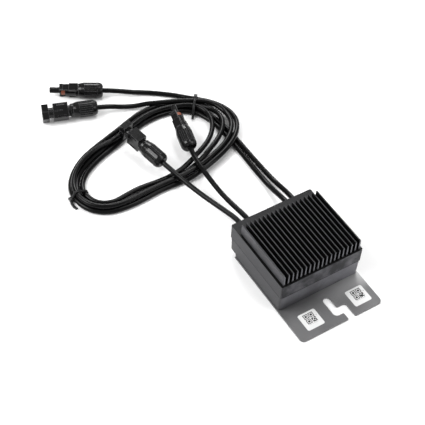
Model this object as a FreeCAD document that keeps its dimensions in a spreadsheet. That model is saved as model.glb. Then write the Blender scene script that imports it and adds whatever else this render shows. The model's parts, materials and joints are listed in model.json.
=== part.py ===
import FreeCAD, Part
import math
import os
import Sketcher
from FreeCAD import Placement, Rotation, Vector

# A solar power optimizer: a finned heat sink over a moulded lower case, on a sheet bracket with
# a J-shaped bolt slot, with two short input cables and two long output cables wound in a coil.
# +X runs across the box, +Y from the bracket's free edge to the cables, +Z up. The origin is on
# the ground, at the middle of the box, bracket and glands together.

os.makedirs("parts", exist_ok=True)
doc = FreeCAD.newDocument("PowerOptimizer")

driving = [
    ("body_width", 120.0, "box across, over its straight sides"),
    ("body_length", 113.2, "box from front wall to back wall"),
    ("seam_height", 28.7, "joint between lower case and heat sink, above ground"),
    ("rim_height", 50.5, "top face of the heat sink's plate, above ground"),
    ("cover_wall", 3.0, "heat sink skirt thickness"),
    ("cover_plate", 5.0, "heat sink plate thickness"),
    ("cover_corner", 2.0, "upright corner radius of the heat sink"),
    ("seam_bevel", 0.4, "bevel either side of the joint"),
    ("fin_count", 19, "fins in the pack"),
    ("fin_side_gap", 3.25, "the box's side to the nearest fin"),
    ("fin_height", 16.2, "fin above the plate"),
    ("fin_root", 2.3, "fin thickness at the plate"),
    ("fin_tip", 1.5, "fin thickness at the top"),
    ("fin_front_gap", 2.7, "front wall to the fins"),
    ("fin_back_gap", 17.4, "back wall to the fins"),
    ("case_wall", 3.0, "lower case wall at its foot"),
    ("case_floor", 2.5, "lower case floor thickness"),
    ("case_taper", 0.7, "how far each side leans in from the joint to the foot"),
    ("case_corner", 4.5, "upright corner radius of the lower case"),
    ("case_foot_round", 1.8, "rounding under the lower case"),
    ("inner_corner", 1.0, "upright corner radius inside the lower case"),
    ("step_length", 14.0, "raised part of the underside at the back"),
    ("step_rise", 5.2, "how far the underside rises there"),
    ("seal_inset", 1.3, "outer wall to the seal's groove"),
    ("seal_width", 1.6, "seal across"),
    ("seal_depth", 1.5, "seal's groove depth"),
    ("sheet_thickness", 2.0, "bracket sheet"),
    ("bracket_margin", 0.4, "bracket past the box on each side"),
    ("bracket_reach", 51.3, "bracket in front of the box"),
    ("bracket_corner", 6.0, "front corner radius of the bracket"),
    ("slot_width", 10.2, "J slot, for the mounting bolt"),
    ("slot_leg_place", 1.1, "middle of the closed leg, across the bracket"),
    ("slot_leg_reach", 35.4, "round end of the closed leg, from the front edge"),
    ("slot_bar_reach", 16.1, "middle of the cross bar, from the front edge"),
    ("slot_bar_width", 11.2, "cross bar of the slot"),
    ("slot_mouth_place", 13.5, "middle of the open leg, across the bracket"),
    ("slot_low_round", 6.0, "outer corner between the closed leg and the cross bar"),
    ("slot_high_round", 4.2, "outer corner between the cross bar and the open leg"),
    ("slot_inner_round", 1.5, "inner corners and lips of the slot"),
    ("label_side", 25.0, "square labels"),
    ("label_sheet", 0.2, "label thickness"),
    ("label_corner", 2.4, "label corner radius"),
    ("label_left_gap", 15.9, "bracket's left edge to the left label"),
    ("label_right_gap", 8.6, "bracket's right edge to the right label"),
    ("label_reach", 22.4, "middle of both labels, from the front edge"),
    ("gland_height", 18.0, "cable exits above ground"),
    ("gland_reach", 7.0, "gland collars behind the back wall"),
    ("gland_collar", 5.2, "gland collar radius"),
    ("gland_neck", 4.5, "gland radius through the wall"),
    ("gland_flange", 1.5, "gland flange inside the wall"),
    ("gland_pad_lift", 8.0, "half height of the flat pad behind the collars"),
    ("input_exit_gap", 28.0, "box's left side to the first input cable"),
    ("input_exit_apart", 11.7, "input cables from each other"),
    ("output_exit_gap", 10.2, "box's right side to the second output cable"),
    ("output_exit_apart", 10.6, "output cables from each other"),
    ("cable_radius", 3.5, "all four cables"),
    ("conductor_radius", 1.6, "copper inside a cable"),
    ("cable_clearance", 0.1, "cable to the bore that it runs in"),
    ("board_height", 14.0, "underside of the circuit board, above ground"),
    ("board_thickness", 1.6, "circuit board"),
    ("board_margin", 0.8, "board edge to the case wall"),
    ("board_front_gap", 8.0, "front wall to the board"),
    ("board_back_gap", 12.0, "back wall to the board"),
    ("boss_radius", 4.8, "cover screw bosses"),
    ("boss_side_gap", 7.0, "cover screw to the box's side"),
    ("boss_front_gap", 8.1, "front cover screws to the front wall"),
    ("boss_back_gap", 36.0, "back cover screws to the back wall"),
    ("cover_screw_radius", 1.8, "cover screw thread"),
    ("cover_screw_head", 3.3, "cover screw head radius"),
    ("cover_screw_reach", 8.5, "cover screw above the joint"),
    ("screw_clearance", 0.3, "screw to its clearance hole"),
    ("bracket_screw_radius", 1.9, "bracket screw thread"),
    ("bracket_screw_head", 3.9, "bracket screw head radius"),
    ("bracket_screw_side", 35.0, "bracket screws from the middle of the box"),
    ("bracket_screw_front_gap", 20.0, "front bracket screws to the front wall"),
    ("bracket_screw_back_gap", 35.0, "back bracket screws to the back wall"),
    ("bracket_boss_radius", 5.0, "bracket screw bosses inside the case"),
    ("bracket_boss_height", 8.0, "bracket screw bosses above the floor"),
    ("post_radius", 3.6, "circuit board posts"),
    ("board_screw_radius", 1.3, "board screw thread"),
    ("board_screw_head", 2.7, "board screw head radius"),
    ("pad_thickness", 1.0, "thermal pad"),
    ("chip_height", 4.5, "power transistors"),
    ("pedestal_across", 32.0, "heat sink's pedestal over the transistors"),
    ("pedestal_along", 34.0, "the same, front to back"),
    ("core_length", 38.0, "inductor core across the board"),
    ("core_depth", 26.0, "inductor core front to back"),
    ("input_can_radius", 6.3, "input capacitors"),
    ("output_can_radius", 5.0, "output capacitors"),
    ("transformer_radius", 9.0, "signal transformer"),
    ("coil_height", 13.4, "wound cable above ground"),
    ("tie_width", 3.6, "cable tie strap across"),
    ("tie_thickness", 1.3, "cable tie strap"),
    ("tie_round", 4.0, "bends of a cable tie round the cables"),
    ("tie_head", 5.4, "cable tie head across"),
    ("tie_tail", 11.0, "free end of a cable tie"),
    ("plug_length", 75.0, "connector with the snout"),
    ("socket_length", 77.0, "connector with the fork"),
    ("nut_length", 34.0, "ribbed nut of a connector"),
    ("nut_radius", 11.2, "ribbed nut of a connector"),
    ("nut_ribs", 12, "ribs round the nut"),
    ("nut_wall", 4.2, "end wall of the nut"),
    ("thread_radius", 8.6, "housing inside the nut"),
    ("thread_start", 14.0, "nut's end to the housing's thread"),
    ("contact_radius", 3.0, "metal contact of a connector"),
    ("contact_clearance", 0.25, "contact to the housing round it"),
    ("contact_bore", 2.1, "bore of a plug's contact"),
    ("pin_radius", 1.9, "pin of a socket's contact"),
    ("snout_radius", 4.3, "snout of a plug"),
    ("snout_root", 4.9, "snout under its ring seal and latch arms"),
    ("snout_length", 14.0, "snout in front of the latch arms"),
    ("front_seal_radius", 6.4, "ring seal on the snout"),
    ("front_seal_width", 5.4, "ring seal along the snout"),
    ("front_seal_gap", 2.6, "ring seal to the ends of the latch arms"),
    ("arm_width", 9.4, "latch arms of a plug"),
    ("socket_bore", 4.7, "bore that takes a snout"),
    ("socket_depth", 33.0, "depth of that bore"),
    ("fork_width", 21.6, "socket housing across its latch rails"),
    ("fork_thickness", 15.0, "socket housing across its flat faces"),
]

sheet = doc.addObject("Spreadsheet::Sheet", "dim")
for row, (name, number, note) in enumerate(driving, start=1):
    sheet.set(f"A{row}", name)
    sheet.set(f"B{row}", str(number))
    sheet.set(f"C{row}", note)
    sheet.setAlias(f"B{row}", name)
doc.recompute()


def size(expression):
    """A number from the sheet, or from a formula of its names."""
    return float(sheet.evalExpression(expression))


# Places that several pieces share, as formulas of the sheet.
overall = "(dim.bracket_reach + dim.body_length + dim.gland_reach)"
bracket_front = f"(0 - {overall} / 2)"
back_face = f"({overall} / 2 - dim.gland_reach)"
front_face = f"({back_face} - dim.body_length)"
body_middle = f"({back_face} - dim.body_length / 2)"
foot = "dim.sheet_thickness"
floor_top = "(dim.sheet_thickness + dim.case_floor)"
step_floor = "(dim.sheet_thickness + dim.step_rise + dim.case_floor)"
wall_at_joint = "(dim.case_wall + dim.case_taper)"
inner_half_width = f"(dim.body_width / 2 - {wall_at_joint})"
board_top = "(dim.board_height + dim.board_thickness)"
board_half = f"({inner_half_width} - dim.board_margin)"
bracket_width = "(dim.body_width + 2 * dim.bracket_margin)"
fin_pack_width = "(dim.body_width - 2 * dim.fin_side_gap)"
board_front = f"({front_face} + dim.board_front_gap)"
board_back = f"({back_face} - dim.board_back_gap)"
plate_under = "(dim.rim_height - dim.cover_plate)"
pad_top = f"({board_top} + dim.chip_height + dim.pad_thickness)"
cover_screw_x = "(dim.body_width / 2 - dim.boss_side_gap)"
cover_screw_spots = [
    (f"({side} * {cover_screw_x})", place)
    for side in (-1, 1)
    for place in (f"({front_face} + dim.boss_front_gap)", f"({back_face} - dim.boss_back_gap)")
]
bracket_screw_spots = [
    (f"({side} * dim.bracket_screw_side)", place)
    for side in (-1, 1)
    for place in (
        f"({front_face} + dim.bracket_screw_front_gap)",
        f"({back_face} - dim.bracket_screw_back_gap)",
    )
]
post_spots = [
    (f"(10 - {board_half})", f"({board_front} + 17)"),
    (f"({board_half} - 10)", f"({board_front} + 17)"),
    (f"(9 - {board_half})", f"({board_back} - 8)"),
    (f"({board_half} - 26)", f"({board_back} - 8)"),
]
exit_in_left = "(dim.input_exit_gap - dim.body_width / 2)"
exit_in_right = f"({exit_in_left} + dim.input_exit_apart)"
exit_out_right = "(dim.body_width / 2 - dim.output_exit_gap)"
exit_out_left = f"({exit_out_right} - dim.output_exit_apart)"
exits = [exit_in_left, exit_in_right, exit_out_left, exit_out_right]


def spread_out(half, widths):
    """Middles of pieces of those widths, evenly spaced from -half to half."""
    gap = f"((2 * {half} - ({' + '.join(widths)})) / {len(widths) + 1})"
    middles = []
    for index, width in enumerate(widths):
        before = " + ".join(widths[:index] + ["0"])
        middles.append(f"({gap} * {index + 1} - {half} + {before} + ({width}) / 2)")
    return middles


power_row = f"({board_front} + 33)"
inductor_x, transistor_x = spread_out(board_half, ["dim.core_length", "dim.pedestal_across"])
can_row = f"({board_back} - 25)"
can_widths = ["2 * dim.input_can_radius"] * 2
can_widths += ["2 * dim.transformer_radius"] + ["2 * dim.output_can_radius"] * 2
between_bosses = f"({cover_screw_x} - dim.boss_radius - dim.board_margin)"
can_places = spread_out(between_bosses, can_widths)


# Shared ways of making things.
def move(item, x, y, z):
    for axis, formula in zip("xyz", (x, y, z)):
        item.setExpression(f"Placement.Base.{axis}", str(formula))
    return item


def solid(kind, name, x, y, z, turn=None, **measures):
    item = doc.addObject(kind, name)
    if turn:
        item.Placement = Placement(Vector(), turn)
    for measure, formula in measures.items():
        item.setExpression(measure, str(formula))
    return move(item, x, y, z)


def block(name, across, along, height, x, y, z):
    """A box centred at x, y and standing on z."""
    return solid(
        "Part::Box",
        name,
        f"{x} - ({across}) / 2",
        f"{y} - ({along}) / 2",
        z,
        Length=across,
        Width=along,
        Height=height,
    )


def rod(name, radius, height, x, y, z, turn=None):
    return solid("Part::Cylinder", name, x, y, z, turn, Radius=radius, Height=height)


def cone(name, low, high, height, x, y, z, turn=None):
    return solid("Part::Cone", name, x, y, z, turn, Radius1=low, Radius2=high, Height=height)


def joined(name, pieces):
    item = doc.addObject("Part::MultiFuse", name)
    item.Shapes = pieces
    item.Refine = True
    return item


def less(name, base, tool):
    item = doc.addObject("Part::Cut", name)
    item.Base = base
    item.Tool = tool
    return item


def group(name, pieces):
    item = doc.addObject("Part::Compound", name)
    item.Links = pieces
    return item


def rounded(name, base, radius, picks):
    """Fillets the base's edges for which picks(edge) is true."""
    doc.recompute()
    item = doc.addObject("Part::Fillet", name)
    item.Base = base
    item.Edges = [
        (number, size(radius), size(radius))
        for number, edge in enumerate(base.Shape.Edges, start=1)
        if picks(edge)
    ]
    return item


def upright(edge):
    first, last = edge.Vertexes[0].Point, edge.Vertexes[-1].Point
    return abs(first.x - last.x) < 1e-6 and abs(first.y - last.y) < 1e-6


def near(edge, spots, reach=0.5):
    middle = edge.CenterOfMass
    return any(math.hypot(middle.x - x, middle.y - y) < reach for x, y in spots)


def new_body(name):
    return doc.addObject("PartDesign::Body", name)


def origin_of(body, role):
    return next(item for item in body.Origin.OriginFeatures if item.Role == role)


def sketch_on(body, role, name, x="0", y="0", lift="0"):
    """A sketch on one of the body's origin planes, moved by x, y within it and lifted off it."""
    sketch = body.newObject("Sketcher::SketchObject", name)
    sketch.AttachmentSupport = [(origin_of(body, role), "")]
    sketch.MapMode = "FlatFace"
    for axis, formula in zip("xyz", (x, y, lift)):
        sketch.setExpression(f"AttachmentOffset.Base.{axis}", formula)
    return sketch


def add_rectangle(sketch, across, along):
    """A rectangle about the sketch's origin, held by two sizes."""
    half_x, half_y = size(across) / 2, size(along) / 2
    corners = [
        Vector(-half_x, -half_y, 0),
        Vector(half_x, -half_y, 0),
        Vector(half_x, half_y, 0),
        Vector(-half_x, half_y, 0),
    ]
    first = sketch.GeometryCount
    for index in range(4):
        sketch.addGeometry(Part.LineSegment(corners[index], corners[(index + 1) % 4]), False)
    for index in range(4):
        following = first + (index + 1) % 4
        sketch.addConstraint(Sketcher.Constraint("Coincident", first + index, 2, following, 1))
        direction = "Horizontal" if index % 2 == 0 else "Vertical"
        sketch.addConstraint(Sketcher.Constraint(direction, first + index))
    sketch.addConstraint(Sketcher.Constraint("Symmetric", first, 1, first + 2, 1, -1, 1))
    width = sketch.addConstraint(Sketcher.Constraint("DistanceX", first, 1, first, 2, 2 * half_x))
    depth = sketch.addConstraint(
        Sketcher.Constraint("DistanceY", first + 1, 1, first + 1, 2, 2 * half_y)
    )
    sketch.setExpression(f"Constraints[{width}]", across)
    sketch.setExpression(f"Constraints[{depth}]", along)
    return sketch


def grow(body, kind, name, sketch, length, reverse=False):
    """A Pad or Pocket that has to change the body's volume."""
    doc.recompute()
    before = body.Shape.Volume if body.Shape and body.Shape.Solids else 0.0
    item = body.newObject(f"PartDesign::{kind}", name)
    item.Profile = sketch
    item.Reversed = reverse
    item.setExpression("Length", length)
    doc.recompute()
    gained = body.Shape.Volume - before
    stopped = [entry.Name for entry in body.Group if "Invalid" in entry.State]
    if stopped:
        raise ValueError(f"{stopped} could not be made")
    if (kind == "Pad") != (gained > 1e-3) or abs(gained) < 1e-3:
        raise ValueError(f"{name} changed nothing")
    return item


def primitive(body, kind, name, x, y, z, turn=None, **measures):
    item = body.newObject(f"PartDesign::{kind}", name)
    if turn:
        item.Placement = Placement(Vector(), turn)
    for measure, formula in measures.items():
        item.setExpression(measure, str(formula))
    return move(item, x, y, z)


def ease(body, kind, name, amount, picks):
    """A Fillet or Chamfer of the edges for which picks(edge) is true."""
    doc.recompute()
    edges = [
        f"Edge{number}"
        for number, edge in enumerate(body.Shape.Edges, start=1)
        if picks(edge)
    ]
    before = body.Tip
    item = body.newObject(f"PartDesign::{kind}", name)
    item.Base = (before, edges)
    item.setExpression("Radius" if kind == "Fillet" else "Size", amount)
    doc.recompute()
    if "Invalid" in item.State or not edges:
        raise ValueError(f"{name} could not be made on {len(edges)} edges")
    return item


along_y = Rotation(Vector(1, 0, 0), -90)  # turns a cylinder's axis from +Z to +Y
along_x = Rotation(Vector(0, 1, 0), 90)  # turns a cylinder's axis from +Z to +X


# The heat sink: a cast skirt and plate with a row of tapered fins.
def make_heat_sink():
    body = new_body("heat_sink")
    outline = sketch_on(body, "XY_Plane", "skirt_outline", "0", body_middle, "dim.seam_height")
    add_rectangle(outline, "dim.body_width", "dim.body_length")
    grow(body, "Pad", "skirt", outline, "dim.rim_height - dim.seam_height")
    ease(body, "Fillet", "skirt_corners", "dim.cover_corner", upright)
    seam = size("dim.seam_height")
    ease(
        body,
        "Chamfer",
        "skirt_bevel",
        "dim.seam_bevel",
        lambda edge: abs(edge.BoundBox.ZMax - seam) < 1e-6,
    )
    hollow = sketch_on(body, "XY_Plane", "hollow_outline", "0", body_middle, "dim.seam_height")
    add_rectangle(
        hollow,
        "dim.body_width - 2 * dim.cover_wall",
        "dim.body_length - 2 * dim.cover_wall",
    )
    grow(body, "Pocket", "hollow", hollow, f"{plate_under} - dim.seam_height", reverse=True)
    primitive(
        body,
        "AdditiveBox",
        "pedestal",
        f"{transistor_x} - dim.pedestal_across / 2",
        f"{power_row} - dim.pedestal_along / 2",
        pad_top,
        Length="dim.pedestal_across",
        Width="dim.pedestal_along",
        Height=f"{plate_under} - {pad_top} + 1",
    )
    for number, (x, y) in enumerate(cover_screw_spots, start=1):
        primitive(
            body,
            "AdditiveCylinder",
            f"cover_boss_{number}",
            x,
            y,
            "dim.seam_height",
            Radius="dim.boss_radius",
            Height=f"{plate_under} - dim.seam_height + 1",
        )
    for number, (x, y) in enumerate(cover_screw_spots, start=1):
        primitive(
            body,
            "SubtractiveCylinder",
            f"cover_thread_{number}",
            x,
            y,
            "dim.seam_height - 1",
            Radius="dim.cover_screw_radius",
            Height="dim.cover_screw_reach + 2",
        )
    fin = sketch_on(
        body,
        "XZ_Plane",
        "fin_section",
        f"0 - ({fin_pack_width} - dim.fin_root) / 2",
        "dim.rim_height",
        f"0 - ({back_face} - dim.fin_back_gap)",
    )
    add_fin_section(fin)
    grow(
        body,
        "Pad",
        "fin",
        fin,
        "dim.body_length - dim.fin_front_gap - dim.fin_back_gap",
    )
    pattern = body.newObject("PartDesign::LinearPattern", "fins")
    pattern.Originals = [doc.getObject("fin")]
    pattern.Direction = (fin, ["H_Axis"])
    pattern.setExpression("Length", f"{fin_pack_width} - dim.fin_root")
    pattern.setExpression("Occurrences", "dim.fin_count")
    body.Tip = pattern
    return body


def add_fin_section(sketch):
    """A fin's section: as wide as its root at the plate, as its tip at the top."""
    root, tip, height = size("dim.fin_root"), size("dim.fin_tip"), size("dim.fin_height")
    corners = [
        Vector(-root / 2, -1, 0),
        Vector(root / 2, -1, 0),
        Vector(tip / 2, height, 0),
        Vector(-tip / 2, height, 0),
    ]
    for index in range(4):
        sketch.addGeometry(Part.LineSegment(corners[index], corners[(index + 1) % 4]), False)
    for index in range(4):
        sketch.addConstraint(Sketcher.Constraint("Coincident", index, 2, (index + 1) % 4, 1))
    sketch.addConstraint(Sketcher.Constraint("Symmetric", 0, 1, 0, 2, -2))
    sketch.addConstraint(Sketcher.Constraint("Symmetric", 2, 1, 2, 2, -2))
    wide = sketch.addConstraint(Sketcher.Constraint("DistanceX", 0, 1, 0, 2, root))
    narrow = sketch.addConstraint(Sketcher.Constraint("DistanceX", 2, 2, 2, 1, tip))
    sunk = sketch.addConstraint(Sketcher.Constraint("DistanceY", 0, 1, -1, 1, 1.0))
    tall = sketch.addConstraint(Sketcher.Constraint("DistanceY", -1, 1, 2, 1, height))
    sketch.setExpression(f"Constraints[{wide}]", "dim.fin_root")
    sketch.setExpression(f"Constraints[{narrow}]", "dim.fin_tip")
    sketch.setExpression(f"Constraints[{tall}]", "dim.fin_height")
    sketch.renameConstraint(sunk, "sunk_in_plate")


# The lower case: a tapered tub with bosses, posts and four cable holes.
def make_lower_case():
    body = new_body("lower_case")
    outline = sketch_on(body, "XY_Plane", "tub_outline", "0", body_middle, "dim.seam_height")
    add_rectangle(outline, "dim.body_width", "dim.body_length")
    tub = grow(body, "Pad", "tub", outline, f"dim.seam_height - {foot}", reverse=True)
    tub.setExpression("TaperAngle", f"-1 * atan(dim.case_taper / (dim.seam_height - {foot}))")
    seam = size("dim.seam_height")
    low = size(foot)
    ease(
        body,
        "Fillet",
        "tub_corners",
        "dim.case_corner",
        lambda edge: edge.BoundBox.ZLength > (seam - low) / 2,
    )
    ease(
        body,
        "Fillet",
        "tub_foot",
        "dim.case_foot_round",
        lambda edge: abs(edge.BoundBox.ZMax - low) < 1e-4,
    )
    ease(
        body,
        "Chamfer",
        "tub_bevel",
        "dim.seam_bevel",
        lambda edge: abs(edge.BoundBox.ZMin - seam) < 1e-6,
    )
    pads = [
        ("input_pad", f"({exit_in_left} + {exit_in_right}) / 2", "dim.input_exit_apart"),
        ("output_pad", f"({exit_out_left} + {exit_out_right}) / 2", "dim.output_exit_apart"),
    ]
    for name, middle, apart in pads:
        across = f"({apart} + 2 * dim.gland_collar + 1)"
        primitive(
            body,
            "AdditiveBox",
            name,
            f"{middle} - {across} / 2",
            f"{back_face} - {wall_at_joint}",
            "dim.gland_height - dim.gland_pad_lift",
            Length=across,
            Width=wall_at_joint,
            Height="2 * dim.gland_pad_lift",
        )
    primitive(
        body,
        "SubtractiveBox",
        "back_step",
        "0 - dim.body_width / 2 - 1",
        f"{back_face} - dim.step_length",
        f"{foot} - 1",
        Length="dim.body_width + 2",
        Width="dim.step_length + 1",
        Height="dim.step_rise + 1",
    )
    primitive(
        body,
        "SubtractiveBox",
        "main_hollow",
        f"0 - {inner_half_width}",
        f"{front_face} + {wall_at_joint}",
        floor_top,
        Length=f"2 * {inner_half_width}",
        Width=f"dim.body_length - {wall_at_joint} - dim.step_length - dim.case_wall",
        Height=f"dim.seam_height - {floor_top} + 1",
    )
    primitive(
        body,
        "SubtractiveBox",
        "back_hollow",
        f"0 - {inner_half_width}",
        f"{back_face} - dim.step_length - dim.case_wall - 5",
        step_floor,
        Length=f"2 * {inner_half_width}",
        Width=f"dim.step_length + dim.case_wall + 5 - {wall_at_joint}",
        Height=f"dim.seam_height - {step_floor} + 1",
    )
    doc.recompute()
    half, front, back = size(inner_half_width), size(front_face), size(back_face)
    wall = size(wall_at_joint)
    spots = [(side * half, y) for side in (-1, 1) for y in (front + wall, back - wall)]
    ease(
        body,
        "Fillet",
        "hollow_corners",
        "dim.inner_corner",
        lambda edge: upright(edge) and near(edge, spots),
    )
    for number, (x, y) in enumerate(cover_screw_spots, start=1):
        primitive(
            body,
            "AdditiveCylinder",
            f"case_boss_{number}",
            x,
            y,
            f"{floor_top} - 1",
            Radius="dim.boss_radius",
            Height=f"dim.seam_height - {floor_top} + 1",
        )
    for number, (x, y) in enumerate(bracket_screw_spots, start=1):
        primitive(
            body,
            "AdditiveCylinder",
            f"bracket_boss_{number}",
            x,
            y,
            f"{floor_top} - 1",
            Radius="dim.bracket_boss_radius",
            Height="dim.bracket_boss_height + 1",
        )
    for number, (x, y) in enumerate(post_spots, start=1):
        primitive(
            body,
            "AdditiveCylinder",
            f"board_post_{number}",
            x,
            y,
            f"{floor_top} - 1",
            Radius="dim.post_radius",
            Height=f"dim.board_height - {floor_top} + 1",
        )
    for number, (x, y) in enumerate(cover_screw_spots, start=1):
        primitive(
            body,
            "SubtractiveCylinder",
            f"case_passage_{number}",
            x,
            y,
            f"{foot} - 1",
            Radius="dim.cover_screw_radius + dim.screw_clearance",
            Height="dim.seam_height + 1",
        )
        primitive(
            body,
            "SubtractiveCylinder",
            f"case_counterbore_{number}",
            x,
            y,
            f"{foot} - 1",
            Radius="dim.cover_screw_head + dim.screw_clearance",
            Height="dim.case_floor + 1 + 1",
        )
    for number, (x, y) in enumerate(bracket_screw_spots, start=1):
        primitive(
            body,
            "SubtractiveCylinder",
            f"bracket_thread_{number}",
            x,
            y,
            f"{foot} - 1",
            Radius="dim.bracket_screw_radius",
            Height="dim.case_floor + dim.bracket_boss_height",
        )
    for number, (x, y) in enumerate(post_spots, start=1):
        primitive(
            body,
            "SubtractiveCylinder",
            f"post_thread_{number}",
            x,
            y,
            f"{floor_top} + 1",
            Radius="dim.board_screw_radius",
            Height="dim.board_height",
        )
    for number, x in enumerate(exits, start=1):
        primitive(
            body,
            "SubtractiveCylinder",
            f"cable_hole_{number}",
            x,
            f"{back_face} - {wall_at_joint} - 1",
            "dim.gland_height",
            along_y,
            Radius="dim.gland_neck",
            Height=f"{wall_at_joint} + 2",
        )
    groove = sketch_on(body, "XY_Plane", "seal_groove_outline", "0", body_middle, "dim.seam_height")
    add_rectangle(
        groove,
        "dim.body_width - 2 * dim.seal_inset",
        "dim.body_length - 2 * dim.seal_inset",
    )
    add_rectangle(
        groove,
        "dim.body_width - 2 * dim.seal_inset - 2 * dim.seal_width",
        "dim.body_length - 2 * dim.seal_inset - 2 * dim.seal_width",
    )
    grow(body, "Pocket", "seal_groove", groove, "dim.seal_depth")
    return body


def make_case_seal():
    body = new_body("case_seal")
    lift = "dim.seam_height - dim.seal_depth"
    ring = sketch_on(body, "XY_Plane", "seal_outline", "0", body_middle, lift)
    add_rectangle(
        ring,
        "dim.body_width - 2 * dim.seal_inset",
        "dim.body_length - 2 * dim.seal_inset",
    )
    add_rectangle(
        ring,
        "dim.body_width - 2 * dim.seal_inset - 2 * dim.seal_width",
        "dim.body_length - 2 * dim.seal_inset - 2 * dim.seal_width",
    )
    grow(body, "Pad", "seal_ring", ring, "dim.seal_depth")
    return body


# The bracket: one sheet under the box, with a J-shaped slot open to its front edge.
def make_bracket():
    body = new_body("mounting_bracket")
    sheet_length = "(dim.bracket_reach + dim.body_length - dim.step_length)"
    outline = sketch_on(
        body, "XY_Plane", "sheet_outline", "0", f"{bracket_front} + {sheet_length} / 2"
    )
    add_rectangle(outline, bracket_width, sheet_length)
    grow(body, "Pad", "bracket_sheet", outline, "dim.sheet_thickness")
    front = size(bracket_front)
    half_width = size(f"{bracket_width} / 2")
    ease(
        body,
        "Fillet",
        "sheet_corners",
        "dim.bracket_corner",
        lambda edge: upright(edge) and near(edge, [(-half_width, front), (half_width, front)]),
    )
    half = "dim.slot_width / 2"
    bar_half = "dim.slot_bar_width / 2"
    through = "dim.sheet_thickness + 2"
    primitive(
        body,
        "SubtractiveCylinder",
        "slot_round_end",
        "dim.slot_leg_place",
        f"{bracket_front} + dim.slot_leg_reach",
        "0 - 1",
        Radius=half,
        Height=through,
    )
    primitive(
        body,
        "SubtractiveBox",
        "slot_leg",
        f"dim.slot_leg_place - {half}",
        f"{bracket_front} + dim.slot_bar_reach - {bar_half}",
        "0 - 1",
        Length="dim.slot_width",
        Width=f"dim.slot_leg_reach - dim.slot_bar_reach + {bar_half}",
        Height=through,
    )
    primitive(
        body,
        "SubtractiveBox",
        "slot_bar",
        f"dim.slot_leg_place - {half}",
        f"{bracket_front} + dim.slot_bar_reach - {bar_half}",
        "0 - 1",
        Length="dim.slot_mouth_place - dim.slot_leg_place + dim.slot_width",
        Width="dim.slot_bar_width",
        Height=through,
    )
    primitive(
        body,
        "SubtractiveBox",
        "slot_mouth",
        f"dim.slot_mouth_place - {half}",
        f"{bracket_front} - 1",
        "0 - 1",
        Length="dim.slot_width",
        Width=f"dim.slot_bar_reach + {bar_half} + 1",
        Height=through,
    )
    leg, mouth = size("dim.slot_leg_place"), size("dim.slot_mouth_place")
    reach, wide = size(half), size("dim.slot_bar_reach")
    low, high = front + wide - size(bar_half), front + wide + size(bar_half)
    inner = [(leg + reach, high), (mouth - reach, low), (mouth - reach, front), (mouth + reach, front)]
    for name, amount, spots in (
        ("slot_low_corner", "dim.slot_low_round", [(leg - reach, low)]),
        ("slot_high_corner", "dim.slot_high_round", [(mouth + reach, high)]),
        ("slot_inner_corners", "dim.slot_inner_round", inner),
    ):
        ease(
            body,
            "Fillet",
            name,
            amount,
            lambda edge: upright(edge) and near(edge, spots),
        )
    for number, (x, y) in enumerate(bracket_screw_spots, start=1):
        primitive(
            body,
            "SubtractiveCone",
            f"countersink_{number}",
            x,
            y,
            "0",
            Radius1="dim.bracket_screw_head + dim.screw_clearance / 2",
            Radius2="dim.bracket_screw_radius + dim.screw_clearance / 2",
            Height="dim.sheet_thickness",
        )
    return body


def make_bracket_screws():
    screws = []
    for number, (x, y) in enumerate(bracket_screw_spots, start=1):
        head = cone(
            f"bracket_screw_head_{number}",
            "dim.bracket_screw_head",
            "dim.bracket_screw_radius",
            "dim.sheet_thickness",
            x,
            y,
            "0",
        )
        shank = rod(
            f"bracket_screw_shank_{number}",
            "dim.bracket_screw_radius",
            "dim.case_floor + dim.bracket_boss_height - 2",
            x,
            y,
            "dim.sheet_thickness",
        )
        screws.append(joined(f"bracket_screw_{number}", [head, shank]))
    return group("bracket_screws", screws)


def make_cover_screws():
    screws = []
    head_top = "(dim.sheet_thickness + dim.case_floor + 1)"
    for number, (x, y) in enumerate(cover_screw_spots, start=1):
        head = rod(
            f"cover_screw_head_{number}",
            "dim.cover_screw_head",
            "2.6",
            x,
            y,
            f"{head_top} - 2.6",
        )
        shank = rod(
            f"cover_screw_shank_{number}",
            "dim.cover_screw_radius",
            f"dim.seam_height + dim.cover_screw_reach - {head_top}",
            x,
            y,
            head_top,
        )
        screws.append(joined(f"cover_screw_{number}", [head, shank]))
    return group("cover_screws", screws)


def make_label(name, place):
    sticker = block(
        f"{name}_sheet",
        "dim.label_side",
        "dim.label_side",
        "dim.label_sheet",
        place,
        f"({bracket_front} + dim.label_reach)",
        "dim.sheet_thickness",
    )
    return rounded(name, sticker, "dim.label_corner", upright)


# The electronics on the board.

def make_board():
    plate = solid(
        "Part::Box",
        "board_plate",
        f"0 - {board_half}",
        board_front,
        "dim.board_height",
        Length=f"2 * {board_half}",
        Width="dim.body_length - dim.board_front_gap - dim.board_back_gap",
        Height="dim.board_thickness",
    )
    holes = [
        rod(
            f"board_notch_{number}",
            "dim.boss_radius + dim.board_margin",
            "dim.board_thickness + 2",
            x,
            y,
            "dim.board_height - 1",
        )
        for number, (x, y) in enumerate(cover_screw_spots, start=1)
    ]
    holes += [
        rod(
            f"board_hole_{number}",
            "dim.board_screw_radius + dim.screw_clearance / 2",
            "dim.board_thickness + 2",
            x,
            y,
            "dim.board_height - 1",
        )
        for number, (x, y) in enumerate(post_spots, start=1)
    ]
    return less("circuit_board", plate, joined("board_openings", holes))


def make_board_screws():
    screws = []
    for number, (x, y) in enumerate(post_spots, start=1):
        head = rod(f"board_screw_head_{number}", "dim.board_screw_head", "2", x, y, board_top)
        shank = rod(
            f"board_screw_shank_{number}",
            "dim.board_screw_radius",
            "dim.board_thickness + 6",
            x,
            y,
            f"{board_top} - dim.board_thickness - 6",
        )
        screws.append(joined(f"board_screw_{number}", [head, shank]))
    return group("board_screws", screws)


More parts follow.
